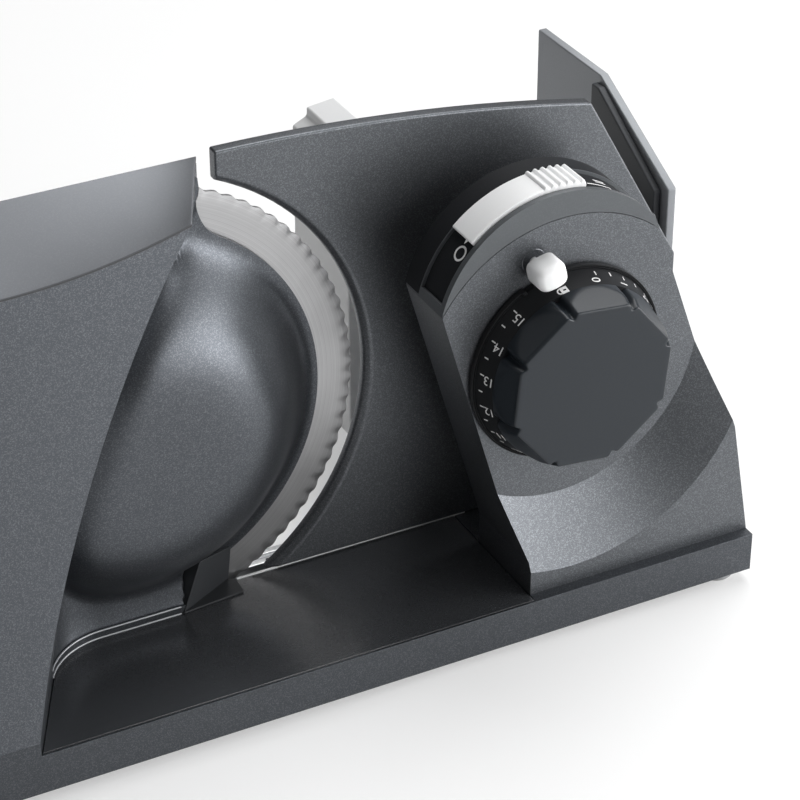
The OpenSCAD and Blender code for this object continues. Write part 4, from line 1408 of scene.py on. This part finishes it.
@dataclass
class ControlTower:
    """Tower with a scooped foot, arched switch cap, painted shade on its switch track and the marks on it.
    """

    cap_x: float = -73.6
    cap_z: float = 101.5
    track_r: float = 43.8
    track_angles: Pair = (41.5, 162.3)
    track_depths: Pair = (18.35, 32.05)
    track_lift: float = 0.01
    sheet_t: float = 0.05
    least_steps: int = 4
    band_angles: Pair = (36.0, 166.0)
    band_depths: Pair = (32.6, 42.0)
    band_lift: float = 1.21
    mark_lift: float = 0.08
    stroke: float = 0.55
    bar_angles: Pair = (59.4, 65.4)
    bar_depths: Pair = (26.5, 27.9)
    line_angles: Pair = (60.0, 72.0)
    line_depth: float = 23.6
    hook_front: float = 20.6
    hook_turn: float = 0.7
    off_angle: float = 140.2
    off_depth: float = 22.8
    off_r: Pair = (2.75, 2.0)

    def build(self) -> None:
        """Makes the tower's shells, the track and its marks."""
        shell("control_housing", Body.FRAME, Slot.SPECKLED, width=0.7, angle=14.0)
        shell("switch_cap", Body.FRAME, Slot.SMOOTH, width=0.45)
        shell("control_rear_cover", Body.FRAME, Slot.SMOOTH, width=0.4)
        self.track()
        self.marks()

    def sheet(self, name: str, angles: Pair, depths: Pair, lift: float) -> Piece:
        """Makes a thin curved sheet on the track.

        Args:
            name: Name of the sheet.
            angles: Its first and last angle, in degrees.
            depths: Its front and rear depth, in millimetres.
            lift: Height of its underside above the track, in millimetres.

        Returns:
            The sheet.
        """
        (low, high), (front, rear) = angles, depths
        r0, r1 = self.track_r + lift, self.track_r + lift + self.sheet_t
        section: Outline = [(r0, front), (r1, front), (r1, rear), (r0, rear)]
        steps = max(self.least_steps, int(high - low))
        return swept(name, lambda _: section, self.cap_x, self.cap_z, steps, low, high)

    def track(self) -> None:
        """Lines the switch's track and the band behind it with dark sheets: painted shade."""
        for name, angles, depths, lift in (
            ("switch_track_shade", self.track_angles, self.track_depths, self.track_lift),
            ("switch_band_shade", self.band_angles, self.band_depths, self.band_lift),
        ):
            dress(shade(self.sheet(name, angles, depths, lift)), Body.FRAME, Slot.SMOOTH, finish=CHANNEL_SHADE)

    def marks(self) -> None:
        """Prints the off ring, the two bars and the hooked line."""
        lift, half, low = self.mark_lift, self.stroke / 2, self.line_angles[0]
        front, rear = self.line_depth - half, self.line_depth + half
        pieces = [self.sheet("bar", self.bar_angles, (y - half, y + half), lift) for y in self.bar_depths]
        pieces.append(self.sheet("line", self.line_angles, (front, rear), lift))
        pieces.append(self.sheet("hook", (low - self.hook_turn, low), (self.hook_front, rear), lift))
        ring = outlined("off_ring", [circle(r) for r in self.off_r])
        face = RoundFace(self.cap_x, self.cap_z, self.track_r + lift)
        pieces.append(face.wrap(ring, self.off_angle, self.off_depth))
        dress(merge("switch_marks", pieces), Body.FRAME, Slot.WHITE, finish=INK)


@dataclass
class ThicknessKnob:
    """Eight-sided knob with finger flats and notched corners, on a numbered dial."""

    x: float = -71.4
    z: float = 83.7
    steps: int = 720
    rows: int = 16
    front: float = -4.0
    rear: float = 6.0
    grip_r: float = 31.5
    draft: float = 1.0
    sides: int = 8
    phase: float = 17.0
    flat_depth: float = 2.8
    flat_slope: float = 21.0
    flat_soft: float = 0.4
    notch_depth: float = 2.3
    notch_w: float = 1.3
    edge: float = 0.9
    edge_steps: int = 5
    face_rim: float = 1.5
    dial_front: float = 6.1
    dial_rear: float = 15.4
    bore_r: float = 12.0
    cone_end: float = 13.3
    cone_r: Pair = (32.4, 34.6)
    flange_r: float = 36.0
    # Grooves of the flange: radius, depth behind the cone, and how many times the tab's height is taken off
    grooves: tuple[Point, ...] = (
        (34.8, 0.7, 2.0), (35.0, 0.2, 1.0), (35.25, 0.2, 1.0), (35.4, 0.8, 2.0), (35.55, 0.4, 1.0),
        (35.85, 0.4, 1.0), (36.0, 0.6, 1.0))
    notch_angles: Pair = (97.0, 118.0)
    notch_lip: float = 0.3
    tab_h: float = 0.7
    tab_turn: float = 2.2
    numbers: int = 16
    first_angle: float = 77.9
    number_step: float = -20.45
    number_h: float = 3.2
    number_depth: float = 8.3
    tick_depth: float = 11.3
    tick_turn: float = -1.8
    tick_mm: Point = (0.06, 1.7, 0.45)
    tick_lift: float = 0.04
    lock_angle: float = 101.2
    lock_depth: float = 7.4
    lock_body: tuple[Pair, ...] = ((-1.3, -1.9), (1.3, -1.9), (1.3, 0.7), (-1.3, 0.7))
    lock_hole: tuple[Pair, ...] = ((-0.3, -1.3), (0.3, -1.3), (0.3, -0.2), (-0.3, -0.2))
    shackle_r: Pair = (1.2, 0.75)
    shackle_v: float = 0.8
    shackle_steps: int = 16

    def side(self, angle: float, y: float) -> float:
        """Gives the grip's radius at an angle and a depth.

        Args:
            angle: Angle from the right upwards, in degrees.
            y: Depth in millimetres.

        Returns:
            The radius in millimetres.
        """
        pitch = 360.0 / self.sides
        off = (angle - self.phase) % pitch
        drum = self.grip_r + self.draft * (y - self.front) / (self.rear - self.front)
        slope = math.tan(math.radians(self.flat_slope))
        middle = self.grip_r - self.flat_depth + (y - self.front) * slope
        r = soft_min(middle / math.cos(math.radians(off - pitch / 2)), drum, self.flat_soft)
        from_corner = math.radians(min(off, pitch - off)) * self.grip_r
        return r - self.notch_depth * math.exp(-(from_corner / self.notch_w) ** 2)

    def grip_profile(self, angle: float) -> Outline:
        """Gives the grip's section at an angle, from the middle of its face to the middle of its rear.

        Args:
            angle: Angle from the right upwards, in degrees.

        Returns:
            The section's points, each a radius and a depth in millimetres.
        """
        shoulder = self.side(angle, self.front + self.edge) - self.edge
        points = [(r, self.front) for r in (0.0, shoulder / 2, shoulder - self.face_rim)]
        points += [(shoulder + self.edge * out, self.front + self.edge * back)
                   for out, back in quarter(self.edge_steps)]
        for k in range(1, self.rows + 1):
            y = self.front + self.edge + (self.rear - self.front - self.edge) * k / self.rows
            points.append((self.side(angle, y), y))
        return points + [(0.0, self.rear)]

    def dial_profile(self, angle: float) -> Outline:
        """Gives the dial's section at an angle: a cone and a grooved flange, cut away at the button.

        Args:
            angle: Angle from the right upwards, in degrees.

        Returns:
            The section's points, each a radius and a depth in millimetres.
        """
        low, high = self.notch_angles
        inside = low < angle < high
        limit = self.cone_r[1] + self.notch_lip if inside else self.flange_r
        # A small tab closes the flange at both ends of the cut
        beside = not inside and min(abs(angle - low), abs(angle - high)) < self.tab_turn
        tab = self.tab_h if beside else 0.0
        flange = [(min(r, limit), self.cone_end + depth - times * tab) for r, depth, times in self.grooves]
        cone = list(zip((self.bore_r, *self.cone_r), (self.dial_front, self.dial_front, self.cone_end)))
        return cone + flange + [(limit, self.dial_rear), (self.bore_r, self.dial_rear)]

    def build(self) -> None:
        """Makes the grip, the dial and everything printed on it."""
        grip = swept("knob_grip_body", self.grip_profile, self.x, self.z, self.steps)
        dress(shade(grip, angle=40.0), Body.KNOB, Slot.KNOB, "knob_grip")
        dial = swept("dial_body", self.dial_profile, self.x, self.z, self.steps)
        dress(shade(dial, angle=30.0), Body.KNOB, Slot.KNOB, "dial_ring", finish=DIAL)
        self.prints()
        self.ticks()

    def cone(self) -> RoundFace:
        """Gives the dial's cone as a face to print on."""
        slope = (self.cone_r[1] - self.cone_r[0]) / (self.cone_end - self.dial_front)
        return RoundFace(self.x, self.z, self.cone_r[0] - slope * self.dial_front, slope)

    def prints(self) -> None:
        """Prints the numbers and the padlock."""
        cone = self.cone()
        pieces: list[Piece] = []
        for n in range(self.numbers):
            number = lettering("number", str(n), self.number_h)
            pieces.append(cone.wrap(number, self.first_angle + self.number_step * n, self.number_depth))
        outer, inner = [circle(r, self.shackle_v, self.shackle_steps, end=180.0) for r in self.shackle_r]
        for shape in ([self.lock_body, self.lock_hole], [outer + inner[::-1]]):
            pieces.append(cone.wrap(outlined("padlock", shape), self.lock_angle, self.lock_depth))
        dress(merge("dial_prints", pieces), Body.KNOB, Slot.WHITE, finish=INK)

    def ticks(self) -> None:
        """Prints a tick beside each number and between each two."""
        cone = self.cone()
        ring = run_tree("dial_ticks", block_ring_tree(), {
            "Count": 2 * self.numbers - 1, "Start": math.radians(self.first_angle + self.tick_turn),
            "Step": math.radians(self.number_step / 2), "Tilt": -math.atan(cone.slope),
            "Radius": (cone.radius + cone.slope * self.tick_depth + self.tick_lift) * MM,
            "Centre": DATUM.metres(self.x, self.tick_depth, self.z),
            "Size": tuple(v * MM for v in self.tick_mm), "Material": INK.material()})
        dress(ring, Body.KNOB, Slot.WHITE, finish=INK)


@dataclass
class LockButton:
    """White rounded button with a crease on its front, beside the dial."""

    x: float = -83.0
    z: float = 123.3
    angle: float = 104.0
    head_steps: int = 180
    stem_steps: int = 64
    stem: Point = (-83.9, 124.2, 1.4)
    stem_y: Pair = (12.0, 19.0)
    stem_edge: float = 0.4
    ring_r: Pair = (1.6, 4.4)
    ring_y: Pair = (15.8, 16.05)
    ring_edge: Pair = (0.1, 0.2)
    front: float = 3.2
    rear: float = 13.1
    half_across: float = 5.4
    half_along: float = 4.5
    power: float = 3.4
    face_fall: float = 0.05
    rounding: float = 2.4
    rounding_steps: int = 8
    rear_edge: Pair = (0.5, 0.6)
    crease: float = 0.11

    def profile(self, angle: float) -> Outline:
        """Gives the button's section at an angle.

        Args:
            angle: Angle from the right upwards, in degrees.

        Returns:
            The section's points, each a radius and a depth in millimetres.
        """
        a = math.radians(angle - self.angle)
        along, across = abs(math.cos(a)), abs(math.sin(a))
        power = self.power
        r = ((along / self.half_along) ** power + (across / self.half_across) ** power) ** (-1 / power)
        flat, face = r - self.rounding, self.front + self.face_fall
        points = [(0.0, self.front), (flat / 2, self.front), (flat, face)]
        points += [(r - self.rounding * (1 - out), face + self.rounding * back)
                   for out, back in quarter(self.rounding_steps)[1:]]
        creased = [(p, y + self.crease * p * across) for p, y in points]
        taper, run = self.rear_edge
        return creased + [(r, self.rear - run), (r - taper, self.rear), (0.0, self.rear)]

    def build(self) -> None:
        """Makes the button with its stem, and the flush ring that the stem runs through."""
        head = swept("head", self.profile, self.x, self.z, self.head_steps)
        (x, z, r), (front, rear), edge = self.stem, self.stem_y, self.stem_edge
        rod: Outline = [(0.0, front), (r, front), (r, rear - edge), (r - edge, rear), (0.0, rear)]
        button = merge("lock_button_body", [head, swept("stem", lambda _: rod, x, z, self.stem_steps)])
        dress(shade(button, angle=50.0), Body.LOCK, Slot.WHITE, "lock_button")
        (inner, outer), (near, far), (small, wide) = self.ring_r, self.ring_y, self.ring_edge
        flat: Outline = [(inner, near + small), (inner + small, near), (outer - wide, near),
                         (outer, near + wide), (outer, far), (inner, far)]
        ring = swept("button_ring", lambda _: flat, x, z, self.stem_steps)
        dress(shade(ring), Body.FRAME, Slot.SPECKLED)


@dataclass
class SwitchSlider:
    """White arc switch with rounded grip ribs and a small pointer."""

    cap_x: float = -73.6
    cap_z: float = 101.5
    inner_r: float = 44.1
    outer_r: float = 46.4
    front: float = 18.7
    rear: float = 31.7
    start: float = 77.0
    end: float = 134.0
    steps_per_degree: int = 6
    edge: float = 0.6
    edge_steps: int = 6
    ribs: int = 6
    rib_start: float = 77.6
    rib_pitch: float = 3.4
    rib_w: float = 2.2
    rib_h: float = 0.9
    rib_power: float = 0.7
    pointer: tuple[Pair, ...] = ((-0.9, -0.4), (0.9, -0.4), (0.0, 1.5))
    pointer_depth: float = 22.0
    pointer_r: float = 45.6

    def top(self, angle: float) -> float:
        """Gives the plate's outer radius at an angle: ribs, and rounded ends.

        Args:
            angle: Angle from the right upwards, in degrees.

        Returns:
            The radius in millimetres.
        """
        off = (angle - self.rib_start) / self.rib_pitch
        local = (off % 1.0) * self.rib_pitch / self.rib_w
        on_rib = 0 <= off < self.ribs and 0 < local < 1
        rib = self.rib_h * math.sin(math.pi * local) ** self.rib_power if on_rib else 0.0
        from_end = math.radians(min(angle - self.start, self.end - angle)) * self.outer_r
        short = max(0.0, 1 - from_end / self.edge)
        return self.outer_r + rib - self.edge * (1 - math.sqrt(1 - short ** 2))

    def profile(self, angle: float) -> Outline:
        """Gives the plate's section at an angle, with its outer edges rounded.

        Args:
            angle: Angle from the right upwards, in degrees.

        Returns:
            The section's points, each a radius and a depth in millimetres.
        """
        top = self.top(angle)
        rise: Outline = [(top - self.edge * (1 - out), self.front + self.edge * back)
                         for out, back in quarter(self.edge_steps)]
        fall: Outline = [(r, self.front + self.rear - y) for r, y in reversed(rise)]
        return [(self.inner_r, self.front)] + rise + fall + [(self.inner_r, self.rear)]

    def build(self) -> None:
        """Makes the plate and its pointer."""
        steps = int((self.end - self.start) * self.steps_per_degree)
        plate = swept("switch_slider_plate", self.profile, self.cap_x, self.cap_z, steps, self.start,
                      self.end)
        dress(shade(plate, angle=60.0), Body.SWITCH, Slot.WHITE, "switch_slider")
        face = RoundFace(self.cap_x, self.cap_z, self.pointer_r)
        pointer = face.wrap(outlined("switch_pointer", [self.pointer]), self.end, self.pointer_depth)
        dress(pointer, Body.SWITCH, Slot.WHITE)


@dataclass
class Carriage:
    """Sliding carriage with its pusher wall, thumb guard and folding leaf."""

    edge: float = 0.6
    bed_edge: float = 0.5

    def build(self) -> None:
        """Makes the shells of the carriage."""
        shell("carriage_bed", Body.CARRIAGE, Slot.CARRIAGE, self.bed_edge)
        shell("pusher_wall", Body.CARRIAGE, Slot.CARRIAGE, self.edge)
        shell("thumb_guard", Body.CARRIAGE, Slot.CARRIAGE, self.edge, finish=SHADED_GUARD)
        shell("feed_leaf", Body.LEAF, Slot.CARRIAGE, self.edge)


@dataclass
class RemnantHolder:
    """White holder that pushes the last piece of food."""

    edge: float = 1.4
    edge_angle: float = 24.0

    def build(self) -> None:
        """Makes the holder with soft edges."""
        shell("remnant_holder", Body.HOLDER, Slot.WHITE, self.edge, self.edge_angle, finish=HOLDER)


def dress_packed_nodes() -> None:
    """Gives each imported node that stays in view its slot's finish."""
    slots = {part["node"]: Slot(part["material_slot"]) for part in frame["record"]["subparts"]}
    for name, obj in frame["nodes"].items():
        obj.data.materials.clear()
        obj.data.materials.append(FINISHES[slots[name]].material())


# Studio


@dataclass(frozen=True)
class Lamp:
    """A square soft light: its place in millimetres, its width in metres and its power in watts."""

    name: str
    place: Point
    width: float
    power: float


@dataclass
class Studio:
    """Pale floor, soft lights and the camera of the photograph."""

    camera_mm: Point = (-485.82, -664.46, 562.19)
    azimuth: float = 27.43
    elevation: float = 31.89
    focal_px: float = 2784.5
    image_px: float = 800.0
    sensor_mm: float = 36.0
    sight: float = 50.0
    floor_half: float = 6.0
    floor_grey: float = 0.9
    floor_roughness: float = 0.6
    floor_glow: float = 0.4
    floor_fade: Pair = (0.3, 1.0)
    floor_mirror_glow: float = 0.15
    surround: float = 0.17
    bright_side: Point = (0.75, -0.55, -0.35)
    bright_from: Pair = (0.45, 0.9)
    dark_side: float = 0.12
    aim_mm: Point = (-120.0, 30.0, 70.0)
    lamps: tuple[Lamp, ...] = (
        Lamp("key_right", (1000.0, -500.0, 420.0), 0.9, 18.0),
        Lamp("top_right", (400.0, 450.0, 1250.0), 1.0, 16.0),
        Lamp("front_right", (550.0, -1250.0, 450.0), 0.9, 8.0),
        Lamp("fill_left", (-900.0, -200.0, 800.0), 0.8, 1.0),
    )

    def build(self) -> None:
        """Sets the camera, the floor, the world and the lights."""
        self.view()
        self.floor()
        self.world()
        self.lights()

    def view(self) -> None:
        """Places the camera where the photograph was taken."""
        camera = bpy.data.cameras.new("camera")
        camera.sensor_width = self.sensor_mm
        camera.lens = self.focal_px / self.image_px * camera.sensor_width
        camera.clip_end = self.sight
        obj = linked("camera", camera)
        a, e = math.radians(self.azimuth), math.radians(self.elevation)
        look = Vector((math.sin(a) * math.cos(e), math.cos(a) * math.cos(e), -math.sin(e)))
        obj.location = DATUM.at(*self.camera_mm)
        obj.rotation_euler = look.to_track_quat("-Z", "Y").to_euler()
        bpy.context.scene.camera = obj
        bpy.context.scene.view_settings.view_transform = "Standard"

    def floor(self) -> None:
        """Lays a wide white floor that keeps a soft shadow and glows more with distance."""
        half = self.floor_half
        corners = ((-half, -half), (half, -half), (half, half), (-half, half))
        floor = make_object("floor", [Vector((x, y, 0.0)) for x, y in corners], [[0, 1, 2, 3]])
        material = bpy.data.materials.new("floor_white")
        material.use_nodes = True
        nodes = material.node_tree.nodes
        bench = NodeBench(material.node_tree)
        surface = nodes["Principled BSDF"]
        paint = (self.floor_grey, self.floor_grey, self.floor_grey, 1.0)
        bench.feed(surface.inputs, {"Base Color": paint, "Roughness": self.floor_roughness})
        place = bench.add("ShaderNodeTexCoord").outputs["Object"]
        reach = bench.add("ShaderNodeVectorMath", {0: place}, operation="LENGTH")
        glow = bench.remap(reach.outputs["Value"], self.floor_fade, (self.floor_glow, 1.0))
        blend = bench.add("ShaderNodeMixShader", {
            0: bench.seen(glow, self.floor_mirror_glow), 1: surface.outputs[0],
            2: bench.add("ShaderNodeEmission").outputs[0]})
        bench.feed(nodes["Material Output"].inputs, {"Surface": blend.outputs[0]})
        floor.data.materials.append(material)

    def world(self) -> None:
        """Sets a surround that is dim as a light, white to the camera and bright on one side in mirrors."""
        world = bpy.data.worlds.new("studio")
        bpy.context.scene.world = world
        world.use_nodes = True
        bench = NodeBench(world.node_tree)
        way = bench.add("ShaderNodeTexCoord").outputs["Generated"]
        side = bench.add("ShaderNodeVectorMath", {0: way, 1: self.bright_side}, operation="DOT_PRODUCT")
        bright = 1.0 - self.surround
        sky = bench.remap(side.outputs["Value"], self.bright_from, (self.dark_side - self.surround, bright))
        strength = bench.math("ADD", bench.seen(bright, sky), self.surround)
        ground = world.node_tree.nodes["Background"]
        bench.feed(ground.inputs, {"Color": (1.0, 1.0, 1.0, 1.0), "Strength": strength})

    def lights(self) -> None:
        """Hangs the soft lights."""
        aim = DATUM.at(*self.aim_mm)
        for lamp in self.lamps:
            light = bpy.data.lights.new(lamp.name, "AREA")
            light.size = lamp.width
            light.energy = lamp.power
            obj = linked(lamp.name, light)
            obj.location = DATUM.at(*lamp.place)
            obj.rotation_euler = (aim - obj.location).to_track_quat("-Z", "Y").to_euler()


def main() -> None:
    """Builds the sub-assemblies in order, then the studio."""
    logging.basicConfig(level=logging.INFO, format="%(name)s: %(message)s")
    dress_packed_nodes()
    for assembly in (BaseSet(), MotorHousing(), GearCover(), BladeSet(), StopPlate(), ControlTower(),
                     ThicknessKnob(), LockButton(), SwitchSlider(), Carriage(), RemnantHolder(), Studio()):
        assembly.build()


if __name__ == "__main__":
    main()
